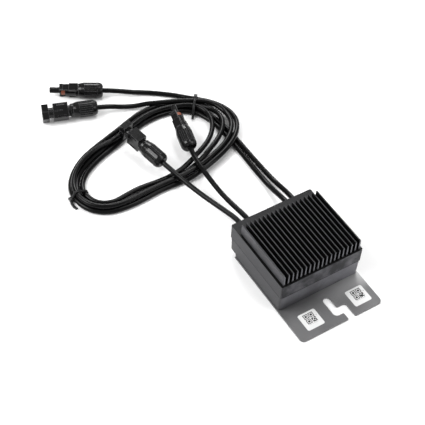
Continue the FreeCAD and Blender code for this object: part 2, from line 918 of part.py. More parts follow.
def make_inductor():
    """A ferrite core of two plates and three legs, with a winding round the middle leg."""
    x, y = inductor_x, power_row
    low = board_top
    length, depth, plate, leg, window = "dim.core_length", "dim.core_depth", "4.5", "6", "13"
    pieces = [
        block("core_low", length, depth, plate, x, y, low),
        block("core_high", length, depth, plate, x, y, f"{low} + {plate} + {window}"),
    ]
    for number, shift in enumerate((-1, 1), start=1):
        pieces.append(
            block(
                f"core_side_{number}",
                leg,
                depth,
                window,
                f"{x} + {shift} * ({length} - {leg}) / 2",
                y,
                f"{low} + {plate}",
            )
        )
    pieces.append(
        rod("core_middle", "6", window, x, y, f"{low} + {plate}")
    )
    core = joined("inductor_core", pieces)
    outer = rod("winding_outside", "12.6", f"{window} - 0.4", x, y, f"{low} + {plate} + 0.2")
    inner = rod("winding_inside", "6.2", window, x, y, f"{low} + {plate}")
    winding = less("inductor_winding", outer, inner)
    return [core, winding]


def make_capacitor(name, radius, height, x, y):
    can = rod(f"{name}_can", radius, height, x, y, f"{board_top} + 1")
    seat = rod(f"{name}_seat", f"{radius} - 0.5", "1.5", x, y, board_top)
    return joined(name, [can, seat])


def make_electronics():
    pieces = [make_board(), make_board_screws()]
    pieces += make_inductor()
    for name, radius, height, x in (
        ("input_capacitor_1", "dim.input_can_radius", "20", can_places[0]),
        ("input_capacitor_2", "dim.input_can_radius", "20", can_places[1]),
        ("output_capacitor_1", "dim.output_can_radius", "21", can_places[3]),
        ("output_capacitor_2", "dim.output_can_radius", "21", can_places[4]),
    ):
        pieces.append(make_capacitor(name, radius, height, x, can_row))
    number = 1
    for across in (-7, 7):
        for along in (-8, 8):
            chip = block(
                f"power_transistor_{number}",
                "10",
                "13",
                "dim.chip_height",
                f"({transistor_x} + {across})",
                f"({power_row} + {along})",
                board_top,
            )
            pieces.append(chip)
            number += 1
    pieces.append(
        block(
            "thermal_pad",
            "dim.pedestal_across",
            "dim.pedestal_along",
            "dim.pad_thickness",
            transistor_x,
            power_row,
            f"{board_top} + dim.chip_height",
        )
    )
    pieces.append(
        block("controller_chip", "12", "12", "1.6", "(0 - 3)", f"({board_front} + 8)", board_top)
    )
    middle = can_places[2]
    ring = rod("transformer_outside", "dim.transformer_radius", "8", middle, can_row, board_top)
    eye = rod("transformer_eye", "4", "10", middle, can_row, f"{board_top} - 1")
    pieces.append(less("signal_transformer", ring, eye))
    return pieces


# Glands in the back wall and the cable ends inside.
def make_gland(number, x):
    wall_inside = f"({back_face} - {wall_at_joint})"
    pieces = [
        cone(
            f"gland_collar_{number}",
            "dim.gland_collar",
            "dim.gland_collar - 1",
            "dim.gland_reach",
            x,
            back_face,
            "dim.gland_height",
            along_y,
        ),
        rod(
            f"gland_neck_{number}",
            "dim.gland_neck",
            wall_at_joint,
            x,
            wall_inside,
            "dim.gland_height",
            along_y,
        ),
        rod(
            f"gland_flange_{number}",
            "dim.gland_neck + 0.5",
            "dim.gland_flange",
            x,
            f"{wall_inside} - dim.gland_flange",
            "dim.gland_height",
            along_y,
        ),
    ]
    bore = rod(
        f"gland_bore_{number}",
        "dim.cable_radius + dim.cable_clearance",
        f"{wall_at_joint} + dim.gland_reach + dim.gland_flange + 2",
        x,
        f"{wall_inside} - dim.gland_flange - 1",
        "dim.gland_height",
        along_y,
    )
    return less(f"cable_gland_{number}", joined(f"gland_outside_{number}", pieces), bore)


def make_cable_ends():
    """Inside the box: each cable's jacket through its gland, and its bare copper on a board lug."""
    jacket_end = f"({back_face} - {wall_at_joint} - 4)"
    lug_back = f"({back_face} - dim.board_back_gap - 3)"
    jackets, lugs = [], []
    for number, x in enumerate(exits, start=1):
        jackets.append(
            rod(
                f"jacket_{number}",
                "dim.cable_radius",
                f"{back_face} + dim.gland_reach - {jacket_end}",
                x,
                jacket_end,
                "dim.gland_height",
                along_y,
            )
        )
        copper = rod(
            f"copper_{number}",
            "dim.conductor_radius",
            f"{jacket_end} - {lug_back} + 2",
            x,
            f"{lug_back} - 2",
            "dim.gland_height",
            along_y,
        )
        lug = block(
            f"lug_{number}",
            "6",
            "8",
            f"dim.gland_height - {board_top} + 2.4",
            x,
            f"({lug_back} - 4)",
            board_top,
        )
        lugs.append(joined(f"wire_lug_{number}", [copper, lug]))
    return [group("cable_jackets", jackets), group("wire_lugs", lugs)]


# Connectors, each built along +X from the end of its nut, then laid where the cable ends.
def axis_body(name):
    body = new_body(name)
    return body


def revolve(body, name, profile):
    """Turns a closed outline of (along, radius) points about the body's X axis."""
    sketch = sketch_on(body, "XY_Plane", f"{name}_outline")
    points = [Vector(along, radius, 0) for along, radius in profile]
    count = len(points)
    for index in range(count):
        sketch.addGeometry(Part.LineSegment(points[index], points[(index + 1) % count]), False)
    for index in range(count):
        sketch.addConstraint(Sketcher.Constraint("Coincident", index, 2, (index + 1) % count, 1))
    turned = body.newObject("PartDesign::Revolution", name)
    turned.Profile = sketch
    turned.ReferenceAxis = (sketch, ["H_Axis"])
    turned.Angle = 360
    doc.recompute()
    return turned


def make_nut(name):
    length, radius, wall = size("dim.nut_length"), size("dim.nut_radius"), size("dim.nut_wall")
    bore = size("dim.cable_radius + dim.cable_clearance")
    cavity = size("dim.thread_radius + dim.contact_clearance")
    body = axis_body(name)
    revolve(
        body,
        f"{name}_shell",
        [
            (0, bore),
            (0, radius - 4.2),
            (1.0, radius - 2.2),
            (3.0, radius - 0.8),
            (6.0, radius),
            (length - 8.0, radius),
            (length - 3.5, radius - 0.7),
            (length, radius - 1.6),
            (length, cavity),
            (wall, cavity),
            (wall, bore),
        ],
    )
    groove_start, groove_end = 7.5, length - 8.5
    groove = sketch_on(
        body,
        "XY_Plane",
        f"{name}_groove_outline",
        f"{(groove_start + groove_end) / 2}",
        "0",
        "dim.nut_radius + 0.5",
    )
    add_rectangle(groove, f"{groove_end - groove_start}", "2 * dim.nut_radius * 0.13")
    cut = grow(body, "Pocket", f"{name}_groove", groove, "1.7")
    pattern = body.newObject("PartDesign::PolarPattern", f"{name}_grooves")
    pattern.Originals = [cut]
    pattern.Axis = (origin_of(body, "X_Axis"), [""])
    pattern.Angle = 360
    pattern.setExpression("Occurrences", "dim.nut_ribs")
    body.Tip = pattern
    return body


def make_plug_housing(name):
    start, length = size("dim.thread_start"), size("dim.plug_length")
    flange = size("dim.nut_length")
    thread, snout = size("dim.thread_radius"), size("dim.snout_radius")
    bore = size("dim.contact_radius + dim.contact_clearance")
    root = size("dim.snout_root")
    arms_end = length - size("dim.snout_length")
    seal_back = arms_end - size("dim.front_seal_gap + dim.front_seal_width")
    body = axis_body(name)
    revolve(
        body,
        f"{name}_core",
        [
            (start, bore),
            (start, thread),
            (flange, thread),
            (flange, thread + 1.0),
            (flange + 4, thread + 1.0),
            (flange + 5, thread - 0.6),
            (seal_back, thread - 1.2),
            (seal_back, root),
            (arms_end, root),
            (arms_end, snout),
            (length - 0.6, snout),
            (length, snout - 0.6),
            (length, bore),
        ],
    )
    arm_width = size("dim.arm_width")
    for side, turn in (("upper", 0), ("lower", 180)):
        facing = Rotation(Vector(1, 0, 0), turn)
        sign = 1 if turn == 0 else -1
        heel = body.newObject("PartDesign::AdditiveBox", f"{name}_{side}_heel")
        heel.Length, heel.Width, heel.Height = 12.5, arm_width + 2, 3.6
        heel.Placement = Placement(Vector(flange + 1, -(arm_width / 2 + 1) * sign, sign * 6.2), facing)
        arm = body.newObject("PartDesign::AdditiveBox", f"{name}_{side}_arm")
        arm.Length, arm.Width, arm.Height = arms_end - flange - 9, arm_width, 2.0
        arm.Placement = Placement(Vector(flange + 9, -arm_width / 2 * sign, sign * 7.0), facing)
        hook = body.newObject("PartDesign::AdditiveWedge", f"{name}_{side}_hook")
        hook.Xmin, hook.Xmax, hook.X2min, hook.X2max = 0, 5.0, 0, 2.2
        hook.Zmin, hook.Zmax, hook.Z2min, hook.Z2max = 0, arm_width, 0, arm_width
        hook.Ymin, hook.Ymax = 0, 1.0
        hook.Placement = Placement(
            Vector(arms_end - 5.0, arm_width / 2 * sign, sign * 8.95),
            facing.multiply(Rotation(Vector(1, 0, 0), 90)),
        )
    doc.recompute()
    return body


def make_socket_housing(name):
    start, length = size("dim.thread_start"), size("dim.socket_length")
    flange = size("dim.nut_length")
    thread = size("dim.thread_radius")
    bore = size("dim.contact_radius + dim.contact_clearance")
    mouth = size("dim.socket_bore")
    floor = length - size("dim.socket_depth")
    width, thickness = size("dim.fork_width"), size("dim.fork_thickness")
    block_length, notch_length = 9.0, 6.5
    body = axis_body(name)
    revolve(
        body,
        f"{name}_core",
        [
            (start, bore),
            (start, thread),
            (flange, thread),
            (flange, thread + 0.8),
            (flange + 3, thread + 0.8),
            (flange + 5, 7.4),
            (length, 7.4),
            (length, mouth),
            (floor, mouth),
            (floor, bore),
        ],
    )
    for part, low, high, wide in (
        ("rails", flange + 7.0, length - block_length - notch_length, width),
        ("front", length - block_length, length, width + 0.4),
    ):
        box = body.newObject("PartDesign::AdditiveBox", f"{name}_{part}")
        box.Length, box.Width, box.Height = high - low, thickness, wide
        box.Placement = Placement(Vector(low, -thickness / 2, -wide / 2), Rotation())
    for side in (-1, 1):
        window = body.newObject("PartDesign::SubtractiveBox", f"{name}_window_{side + 2}")
        window.Length, window.Width, window.Height = 11.5, thickness + 2, 2.6
        low = 7.4 if side > 0 else -7.4 - 2.6
        window.Placement = Placement(Vector(flange + 10.5, -thickness / 2 - 1, low), Rotation())
        face = body.newObject("PartDesign::SubtractiveBox", f"{name}_line_{side + 2}")
        face.Length, face.Width, face.Height = length - flange - 14, 1.0, 1.3
        edge = thickness / 2 - 0.8 if side > 0 else -thickness / 2 - 0.2
        face.Placement = Placement(Vector(flange + 14.5, edge, -0.65), Rotation())
    passage = body.newObject("PartDesign::SubtractiveCylinder", f"{name}_contact_bore")
    passage.Radius, passage.Height = bore, floor - start + 2
    passage.Placement = Placement(Vector(start - 1, 0, 0), along_x)
    hole = body.newObject("PartDesign::SubtractiveCylinder", f"{name}_mouth")
    hole.Radius, hole.Height = mouth, size("dim.socket_depth") + 1
    hole.Placement = Placement(Vector(floor, 0, 0), along_x)
    doc.recompute()
    return body


def make_cable_seal(name):
    """The rubber gland that the nut presses round the cable."""
    outside = rod(
        f"{name}_outside",
        "dim.thread_radius",
        "dim.thread_start - dim.nut_wall",
        "dim.nut_wall",
        "0",
        "0",
        along_x,
    )
    bore = rod(
        f"{name}_bore",
        "dim.cable_radius + dim.cable_clearance",
        "dim.thread_start + 2",
        "0",
        "0",
        "0",
        along_x,
    )
    return less(name, outside, bore)


def make_plug_contact(name):
    length = "(dim.plug_length - 2 - dim.thread_start)"
    barrel = rod(f"{name}_barrel", "dim.contact_radius", length, "dim.thread_start", "0", "0", along_x)
    bore = rod(f"{name}_bore", "dim.contact_bore", "26", "dim.plug_length - 27", "0", "0", along_x)
    return less(name, barrel, bore)


def make_socket_contact(name):
    floor = "(dim.socket_length - dim.socket_depth)"
    barrel = rod(
        f"{name}_barrel",
        "dim.contact_radius",
        f"{floor} - dim.thread_start",
        "dim.thread_start",
        "0",
        "0",
        along_x,
    )
    pin = rod(f"{name}_pin", "dim.pin_radius", "dim.socket_depth - 9", floor, "0", "0", along_x)
    return joined(name, [barrel, pin])


def make_front_seal(name):
    back = "(dim.plug_length - dim.snout_length - dim.front_seal_gap - dim.front_seal_width)"
    outside = rod(
        f"{name}_outside", "dim.front_seal_radius", "dim.front_seal_width", back, "0", "0", along_x
    )
    inside = rod(f"{name}_inside", "dim.snout_root", "20", f"{back} - 5", "0", "0", along_x)
    return less(name, outside, inside)


# Where each connector lies: the end of its nut, its heading and pitch, and its turn about its axis.
connectors = {
    "output_plug": ((-65.8, 403.1, 11.3), 150.0, 0.0, -15.0),
    "output_socket": ((-89.0, 376.4, 12.6), 160.5, 0.0, 62.0),
    "input_socket": ((-65.2, 237.0, 17.9), 103.8, 6.5, 0.0),
    "input_plug": ((-19.8, 241.7, 17.9), 77.7, 6.6, -40.0),
}


def lay(place):
    spot, heading, pitch, turn = place
    turned = Rotation(Vector(0, 0, 1), heading)
    turned = turned.multiply(Rotation(Vector(0, 1, 0), -pitch))
    turned = turned.multiply(Rotation(Vector(1, 0, 0), turn))
    return Placement(Vector(*spot), turned)


def make_connector(name, place):
    plug = name.endswith("plug")
    pieces = [
        make_plug_housing(f"{name}_housing") if plug else make_socket_housing(f"{name}_housing"),
        make_nut(f"{name}_nut"),
        make_cable_seal(f"{name}_gland"),
        make_plug_contact(f"{name}_contact") if plug else make_socket_contact(f"{name}_contact"),
    ]
    if plug:
        pieces.append(make_front_seal(f"{name}_seal"))
    for piece in pieces:
        piece.Placement = lay(place)
    return pieces


# Cables: straight runs joined by tangent arcs through points chosen by hand.
back_y = size(f"{back_face} + dim.gland_reach")
exit_z = size("dim.gland_height")


def on_axis(name, along):
    """A point on a connector's axis, measured forward from the end of its nut."""
    spot, heading, pitch, _ = connectors[name]
    flat = math.cos(math.radians(pitch))
    ahead = Vector(
        flat * math.cos(math.radians(heading)),
        flat * math.sin(math.radians(heading)),
        math.sin(math.radians(pitch)),
    )
    return Vector(*spot) + ahead * along


def inside_nut(name):
    """The place in a connector where the cable's jacket meets the metal contact."""
    return on_axis(name, size("dim.thread_start"))


input_cable_1 = [
    (size(exit_in_left), back_y, exit_z),
    (size(exit_in_left), back_y + 17.0, exit_z),
    (-37.2, 126.0, 16.0),
    (-44.4, 151.0, 15.0),
    (-52.0, 176.0, 15.8),
    (-58.9, 203.0, 17.6),
    on_axis("input_socket", -9.0),
    inside_nut("input_socket"),
]
input_cable_2 = [
    (size(exit_in_right), back_y, exit_z),
    (size(exit_in_right), back_y + 17.0, exit_z),
    (-22.8, 126.0, 16.2),
    (-25.2, 151.0, 15.3),
    (-25.8, 178.0, 16.1),
    (-24.9, 206.0, 17.6),
    on_axis("input_plug", -9.0),
    inside_nut("input_plug"),
]
output_lead_1 = [
    (size(exit_out_left), back_y, exit_z),
    (size(exit_out_left), back_y + 14.0, exit_z),
    (40.9, 121.0, 11.6),
    (43.2, 143.0, 4.8),
    (43.8, 166.0, 3.6),
    (43.5, 188.0, 3.8),
    (43.9, 209.0, 3.6),
    (43.9, 228.9, 3.6),
]
output_lead_2 = [
    (size(exit_out_right), back_y, exit_z),
    (size(exit_out_right), back_y + 14.0, exit_z),
    (51.9, 121.0, 11.6),
    (52.6, 143.0, 4.8),
    (51.7, 166.0, 3.6),
    (51.1, 188.0, 3.8),
    (51.5, 209.0, 3.6),
    (51.5, 228.9, 3.6),
]
output_tail_1 = [
    (21.4, 350.8, 3.6),
    (-2.0, 370.5, 3.6),
    (-27.0, 384.5, 5.8),
    on_axis("output_plug", -14.0),
    inside_nut("output_plug"),
]
output_tail_2 = [
    (-16.0, 355.5, 3.6),
    (-37.0, 363.3, 3.6),
    (-56.0, 367.4, 6.4),
    on_axis("output_socket", -12.0),
    inside_nut("output_socket"),
]


def round_route(name, points):
    """Edges of a route whose corners are arcs of 0.45 of the shorter run either side."""
    points = [Vector(*point) for point in points]
    edges, start, radii = [], points[0], []
    for before, corner, after in zip(points, points[1:], points[2:]):
        back, ahead = (before - corner), (after - corner)
        shorter = min(back.Length, ahead.Length)
        back.normalize()
        ahead.normalize()
        half_turn = (math.pi - back.getAngle(ahead)) / 2
        cut = 0.45 * shorter
        radius = cut / math.tan(half_turn)
        radii.append(round(radius, 1))
        inward = back + ahead
        inward.normalize()
        centre = corner + inward * (radius / math.cos(half_turn))
        first, last = corner + back * cut, corner + ahead * cut
        middle = centre - inward * radius
        edges.append(Part.LineSegment(start, first).toShape())
        edges.append(Part.Arc(first, middle, last).toShape())
        start = last
    edges.append(Part.LineSegment(start, points[-1]).toShape())
    print(name, "radii", radii)
    return Part.Wire(edges)


def make_cable(name, points):
    path = round_route(name, points)
    radius = size("dim.cable_radius")
    first = path.Edges[0]
    section = Part.Wire(
        Part.Circle(first.Vertexes[0].Point, first.tangentAt(first.FirstParameter), radius).toShape()
    )
    tube = path.makePipeShell([section], True, False)
    wanted = math.pi * radius**2 * path.Length
    print(name, "length", round(path.Length, 1), "volume share", round(tube.Volume / wanted, 4))
    if abs(tube.Volume / wanted - 1) > 0.01:
        raise ValueError(f"{name} has the wrong volume")
    item = doc.addObject("Part::Feature", name)
    item.Shape = tube
    return item


# The wound part of the output cables: one band that follows the turns' outer shape.
def square_port(route, reach):
    """Two points of the band's outline, square across the end of a cable that runs into it."""
    end, before = Vector(*route[0]), Vector(*route[1])
    into = end - before
    into.z = 0
    into.normalize()
    side = Vector(-into.y, into.x, 0)
    return (end - side * reach, end + side * reach)


coil_outside = [
    (72.0, 271.0),
    (67.5, 250.0),
    (57.5, 229.0, "sharp"),
    (38.5, 229.0, "sharp"),
    (20.0, 211.0),
    (-9.0, 203.5),
    (-34.0, 200.5),
    (-59.0, 200.5),
    (-86.0, 202.0),
    (-116.0, 200.0),
    (-149.0, 199.0),
    (-177.0, 208.5),
    (-194.5, 232.0),
    (-196.0, 258.0),
    (-187.0, 284.0),
    (-159.0, 309.0),
    (-125.0, 324.5),
    (-87.0, 335.0),
    (-51.0, 344.5),
    (-30.0, 350.0),
    "output_tail_2",
    (10.5, 352.5),
    "output_tail_1",
    (41.0, 335.0),
    (56.0, 318.0),
    (68.0, 295.0),
]
coil_inside = [
    (29.0, 278.0),
    (18.0, 259.0),
    (0.0, 247.0),
    (-24.0, 236.0),
    (-45.0, 228.0),
    (-60.0, 225.0),
    (-84.0, 224.0),
    (-111.0, 226.0),
    (-139.0, 232.0),
    (-158.0, 239.0),
    (-170.0, 247.0),
    (-173.5, 256.0),
    (-166.0, 267.0),
    (-150.0, 280.0),
    (-126.0, 292.0),
    (-95.0, 305.0),
    (-60.0, 318.0),
    (-24.0, 323.0),
    (5.0, 319.0),
    (23.0, 308.0),
    (32.0, 294.0),
]


def outline_corners(points):
    """The outline's corners as (vector, sharp), with the cables' square ports put in."""
    ports = {"output_tail_1": output_tail_1, "output_tail_2": output_tail_2}
    corners = []
    for point in points:
        if isinstance(point, str):
            first, last = square_port(ports[point], size("dim.cable_radius") + 0.6)
            corners += [(Vector(first.x, first.y, 0), True), (Vector(last.x, last.y, 0), True)]
        else:
            corners.append((Vector(point[0], point[1], 0), len(point) > 2))
    return corners


def closed_outline(points):
    """A closed wire on the ground: straight runs joined by tangent arcs, apart from sharp corners."""
    corners = outline_corners(points)
    count = len(corners)
    ends = []
    for index, (corner, sharp) in enumerate(corners):
        before, after = corners[index - 1][0], corners[(index + 1) % count][0]
        if sharp:
            ends.append((corner, None, corner))
            continue
        back, ahead = before - corner, after - corner
        shorter = min(back.Length, ahead.Length)
        back.normalize()
        ahead.normalize()
        half_turn = (math.pi - back.getAngle(ahead)) / 2
        cut = 0.45 * shorter
        inward = back + ahead
        inward.normalize()
        radius = cut / math.tan(half_turn)
        middle = corner + inward * (radius / math.cos(half_turn) - radius)
        ends.append((corner + back * cut, middle, corner + ahead * cut))
    edges = []
    for index, (first, middle, last) in enumerate(ends):
        if middle is not None:
            edges.append(Part.Arc(first, middle, last).toShape())
        edges.append(Part.LineSegment(last, ends[(index + 1) % count][0]).toShape())
    return Part.Wire(edges)


# Each cable tie: the middle of the band there, the heading of the band, and the band's width.
ties = {
    "cable_tie_left": ((-184.0, 257.5), 97.0, 24.0),
    "cable_tie_right": ((34.8, 319.4), 142.0, 32.0),
}


def tie_frame(name):
    (x, y), heading, _ = ties[name]
    return Placement(Vector(x, y, 0), Rotation(Vector(0, 0, 1), heading))


def tie_loop(name, clearance):
    """The strap's loop round the band, as wide as the strap and the clearance either side."""
    width, height = ties[name][2], size("dim.coil_height")
    strap = size("dim.tie_width") + 2 * clearance
    thick = size("dim.tie_thickness") + clearance
    outside = Part.makeBox(strap, width, height, Vector(-strap / 2, -width / 2, 0))
    inside = Part.makeBox(
        strap + 2,
        width - 2 * thick,
        height - 2 * thick,
        Vector(-strap / 2 - 1, thick - width / 2, thick),
    )
    corners = [edge for edge in outside.Edges if abs(edge.Length - strap) < 1e-6]
    rounded_outside = outside.makeFillet(size("dim.tie_round"), corners)
    corners = [edge for edge in inside.Edges if abs(edge.Length - strap - 2) < 1e-6]
    rounded_inside = inside.makeFillet(size("dim.tie_round") - thick, corners)
    return rounded_outside, rounded_inside


def make_coil():
    height = size("dim.coil_height")
    face = Part.Face(closed_outline(coil_outside)).cut(Part.Face(closed_outline(coil_inside)))
    band = face.extrude(Vector(0, 0, height)).Solids[0]
    clearance = 0.15
    for name in ties:
        core = tie_loop(name, clearance)[1]
        strap = size("dim.tie_width") + 2 * clearance
        reach = ties[name][2]
        slab = Part.makeBox(strap, 2 * reach, height + 2, Vector(-strap / 2, -reach, -1))
        band = band.cut(placed(slab.cut(core), name))
    item = doc.addObject("Part::Feature", "cable_coil")
    item.Shape = band.removeSplitter()
    return item


def make_tie(name):
    width = ties[name][2]
    strap, thick, head = size("dim.tie_width"), size("dim.tie_thickness"), size("dim.tie_head")
    height, tail = size("dim.coil_height"), size("dim.tie_tail")
    outside, inside = tie_loop(name, 0.0)
    loop = outside.cut(inside)
    if name == "cable_tie_left":
        lock = Part.makeBox(head, 4.4, head, Vector(-head / 2, width / 2 - 0.2, 3.0))
        free = Part.makeBox(tail, thick, strap, Vector(-tail - head / 2 + 0.2, width / 2 + 1.4, 3.9))
    else:
        lock = Part.makeBox(head, 4.4, head, Vector(-head / 2, -width / 2 - 4.2, 7.0))
        free = Part.makeBox(strap, tail, thick, Vector(-strap / 2, width / 2 - 0.5, 5.4))
    item = doc.addObject("Part::Feature", name)
    item.Shape = loop.fuse([lock, free]).removeSplitter()
    item.Placement = tie_frame(name)
    return item


def placed(shape, name):
    shape.Placement = tie_frame(name).multiply(shape.Placement)
    return shape


nodes = [
    make_lower_case(),
    make_heat_sink(),
    make_case_seal(),
    make_bracket(),
    make_bracket_screws(),
    make_cover_screws(),
    make_label("label_left", f"(dim.label_left_gap + dim.label_side / 2 - {bracket_width} / 2)"),
    make_label("label_right", f"({bracket_width} / 2 - dim.label_right_gap - dim.label_side / 2)"),
]
nodes += make_electronics()
for number, x in enumerate(exits, start=1):
    nodes.append(make_gland(number, x))
nodes += make_cable_ends()
for name, place in connectors.items():
    nodes += make_connector(name, place)
for name, route in (
    ("input_cable_1", input_cable_1),
    ("input_cable_2", input_cable_2),
    ("output_lead_1", output_lead_1),
    ("output_lead_2", output_lead_2),
    ("output_tail_1", output_tail_1),
    ("output_tail_2", output_tail_2),
):
    nodes.append(make_cable(name, route))
nodes.append(make_coil())
nodes += [make_tie(name) for name in ties]
doc.recompute()

broken = [item.Name for item in doc.Objects if {"Invalid", "Error"} & set(item.State)]
if broken:
    raise ValueError(f"objects with errors: {broken}")
for node in nodes:
    node.Label = node.Name
    if node.Shape.isNull() or not node.Shape.isValid() or not node.Shape.Solids:
        raise ValueError(f"{node.Name} has no valid solid")
for node in nodes:
    node.Shape.exportStep(f"parts/{node.Name}.step")
print("nodes", len(nodes))
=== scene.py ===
import json
import math

import bmesh
import bpy
from mathutils import Euler, Matrix, Vector


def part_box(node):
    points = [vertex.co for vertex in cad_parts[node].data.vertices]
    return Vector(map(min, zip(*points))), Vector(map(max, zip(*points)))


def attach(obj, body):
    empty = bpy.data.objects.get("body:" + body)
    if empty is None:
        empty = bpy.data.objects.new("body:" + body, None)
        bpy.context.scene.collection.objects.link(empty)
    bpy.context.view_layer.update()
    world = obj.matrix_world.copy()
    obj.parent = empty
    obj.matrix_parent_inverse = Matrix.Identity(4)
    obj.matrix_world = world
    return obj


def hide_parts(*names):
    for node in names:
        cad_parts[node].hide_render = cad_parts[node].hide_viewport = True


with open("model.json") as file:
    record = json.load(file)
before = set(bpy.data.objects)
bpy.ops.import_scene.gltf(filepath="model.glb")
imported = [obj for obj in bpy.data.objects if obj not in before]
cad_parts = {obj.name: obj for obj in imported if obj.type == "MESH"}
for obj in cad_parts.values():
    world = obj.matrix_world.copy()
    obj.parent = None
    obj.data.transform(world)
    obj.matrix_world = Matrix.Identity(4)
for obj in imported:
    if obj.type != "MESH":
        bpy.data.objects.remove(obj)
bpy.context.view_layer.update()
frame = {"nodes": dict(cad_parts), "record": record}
scene = bpy.context.scene
mm = 0.001

# Camera
view = {
    "place": (-0.60371, -0.66665, 1.16812),
    "turn": (40.0328, -2.2982, -31.8802),
    "lens": 98.96,
    "sensor": 36.0,
    "farthest": 20.0,
}
cameraData = bpy.data.cameras.new("camera")
cameraData.lens = view["lens"]
cameraData.sensor_width = view["sensor"]
cameraData.clip_end = view["farthest"]
camera = bpy.data.objects.new("camera", cameraData)
camera.location = view["place"]
camera.rotation_euler = Euler([math.radians(angle) for angle in view["turn"]], "XYZ")
scene.collection.objects.link(camera)
scene.camera = camera
print("stage: camera")


# Shader helpers
def newMaterial(name):
    material = bpy.data.materials.new(name)
    material.use_nodes = True
    tree = material.node_tree
    return material, tree, tree.nodes["Principled BSDF"]


def addNode(tree, kind, **values):
    node = tree.nodes.new(kind)
    for key, value in values.items():
        setattr(node, key, value)
    return node


def setInputs(node, **values):
    for key, value in values.items():
        node.inputs[key.replace("_", " ")].default_value = value


def objectPlace(tree, stretch=(1, 1, 1)):
    # The point in the object's own metres, stretched by the given factors.
    coordinates = addNode(tree, "ShaderNodeTexCoord")
    mapping = addNode(tree, "ShaderNodeMapping")
    mapping.inputs["Scale"].default_value = stretch
    tree.links.new(coordinates.outputs["Object"], mapping.inputs["Vector"])
    return mapping.outputs["Vector"]


def noise(tree, place, scale, detail=3.0, roughness=0.55):
    node = addNode(tree, "ShaderNodeTexNoise")
    setInputs(node, Scale=scale, Detail=detail, Roughness=roughness)
    tree.links.new(place, node.inputs["Vector"])
    return node.outputs["Fac"]


def ramp(tree, value, low, high, first, last):
    # Maps value from low..high to the two colours.
    node = addNode(tree, "ShaderNodeValToRGB")
    node.color_ramp.elements[0].position = low
    node.color_ramp.elements[1].position = high
    node.color_ramp.elements[0].color = (*first, 1)
    node.color_ramp.elements[1].color = (*last, 1)
    tree.links.new(value, node.inputs["Fac"])
    return node.outputs["Color"]


def spread(tree, value, low, high):
    # Maps value from 0..1 to low..high.
    node = addNode(tree, "ShaderNodeMapRange")
    setInputs(node, To_Min=low, To_Max=high)
    tree.links.new(value, node.inputs["Value"])
    return node.outputs["Result"]


def bump(tree, shader, height, strength, distance):
    node = addNode(tree, "ShaderNodeBump")
    setInputs(node, Strength=strength, Distance=distance)
    tree.links.new(height, node.inputs["Height"])
    tree.links.new(node.outputs["Normal"], shader.inputs["Normal"])


def edgeMask(tree, radius, sharp=0.75):
    # Near 1 on edges that stick out and near 0 on flat faces.
    node = addNode(tree, "ShaderNodeBevel", samples=4)
    setInputs(node, Radius=radius)
    geometry = addNode(tree, "ShaderNodeNewGeometry")
    product = addNode(tree, "ShaderNodeVectorMath", operation="DOT_PRODUCT")
    tree.links.new(node.outputs["Normal"], product.inputs[0])
    tree.links.new(geometry.outputs["Normal"], product.inputs[1])
    flat = addNode(tree, "ShaderNodeMapRange")
    setInputs(flat, From_Min=sharp, From_Max=1.0, To_Min=1.0, To_Max=0.0)
    tree.links.new(product.outputs["Value"], flat.inputs["Value"])
    return flat.outputs["Result"]


def mixColour(tree, factor, first, second):
    # The first colour where the factor is 0 and the second where it is 1.
    node = addNode(tree, "ShaderNodeMix", data_type="RGBA")
    tree.links.new(factor, node.inputs["Factor"])
    for socket, colour in ((6, first), (7, second)):  # the node's two colour sockets
        if isinstance(colour, tuple):
            node.inputs[socket].default_value = (*colour, 1)
        else:
            tree.links.new(colour, node.inputs[socket])
    return node.outputs[2]


def compare(tree, value, limit, above=True):
    # 1 where the value lies above the limit, or below it, and 0 elsewhere.
    node = addNode(tree, "ShaderNodeMath", operation="GREATER_THAN" if above else "LESS_THAN")
    tree.links.new(value, node.inputs[0])
    node.inputs[1].default_value = limit
    return node.outputs["Value"]


def both(tree, *factors):
    # The product of the factors, which is 1 only where all of them are 1.
    result = factors[0]
    for factor in factors[1:]:
        node = addNode(tree, "ShaderNodeMath", operation="MULTIPLY")
        tree.links.new(result, node.inputs[0])
        tree.links.new(factor, node.inputs[1])
        result = node.outputs["Value"]
    return result


def blend(tree, value, low, high):
    # Rises smoothly from 0 at the low value to 1 at the high one.
    node = addNode(tree, "ShaderNodeMapRange", interpolation_type="SMOOTHSTEP")
    setInputs(node, From_Min=low, From_Max=high)
    tree.links.new(value, node.inputs["Value"])
    return node.outputs["Result"]


def placeAndFacing(tree):
    # X, Y and Z of the point in metres, then of the surface's normal, all in the object's own axes.
    coordinates = addNode(tree, "ShaderNodeTexCoord")
    outputs = []
    for socket in ("Object", "Normal"):
        split = addNode(tree, "ShaderNodeSeparateXYZ")
        tree.links.new(coordinates.outputs[socket], split.inputs["Vector"])
        outputs += [split.outputs[axis] for axis in "XYZ"]
    return outputs


def dress(tree, shader, colour, sheen, rough, height, relief, **values):
    # Joins the colour, the uneven roughness and the relief (strength and depth) to the shader.
    tree.links.new(colour, shader.inputs["Base Color"])
    tree.links.new(spread(tree, sheen, *rough), shader.inputs["Roughness"])
    setInputs(shader, **values)
    bump(tree, shader, height, *relief)


# Materials
surface = {
    "grainNoise": (2.0, 0.7),
    "grainDepth": 0.2 * mm,
    "softDepth": 0.1 * mm,
    "softDetail": 4.0,
    "coatMottle": (38.0, 4.0),
    "coatTurn": (0.35, 0.7),  # the noise values where the dark shade ends and the light one starts
    "coatEdge": 0.6 * mm,
    "softTurn": (0.3, 0.7),
    "softRough": (0.85, 1.15),  # shares of the roughness
    "metalMottle": (160.0, 4.0),
    "metalDark": 0.75,
    "metalRough": (0.7, 1.3),
    "metalRelief": 0.05,
}


def fineGrain(tree, scale):
    return noise(tree, objectPlace(tree), scale, *surface["grainNoise"])


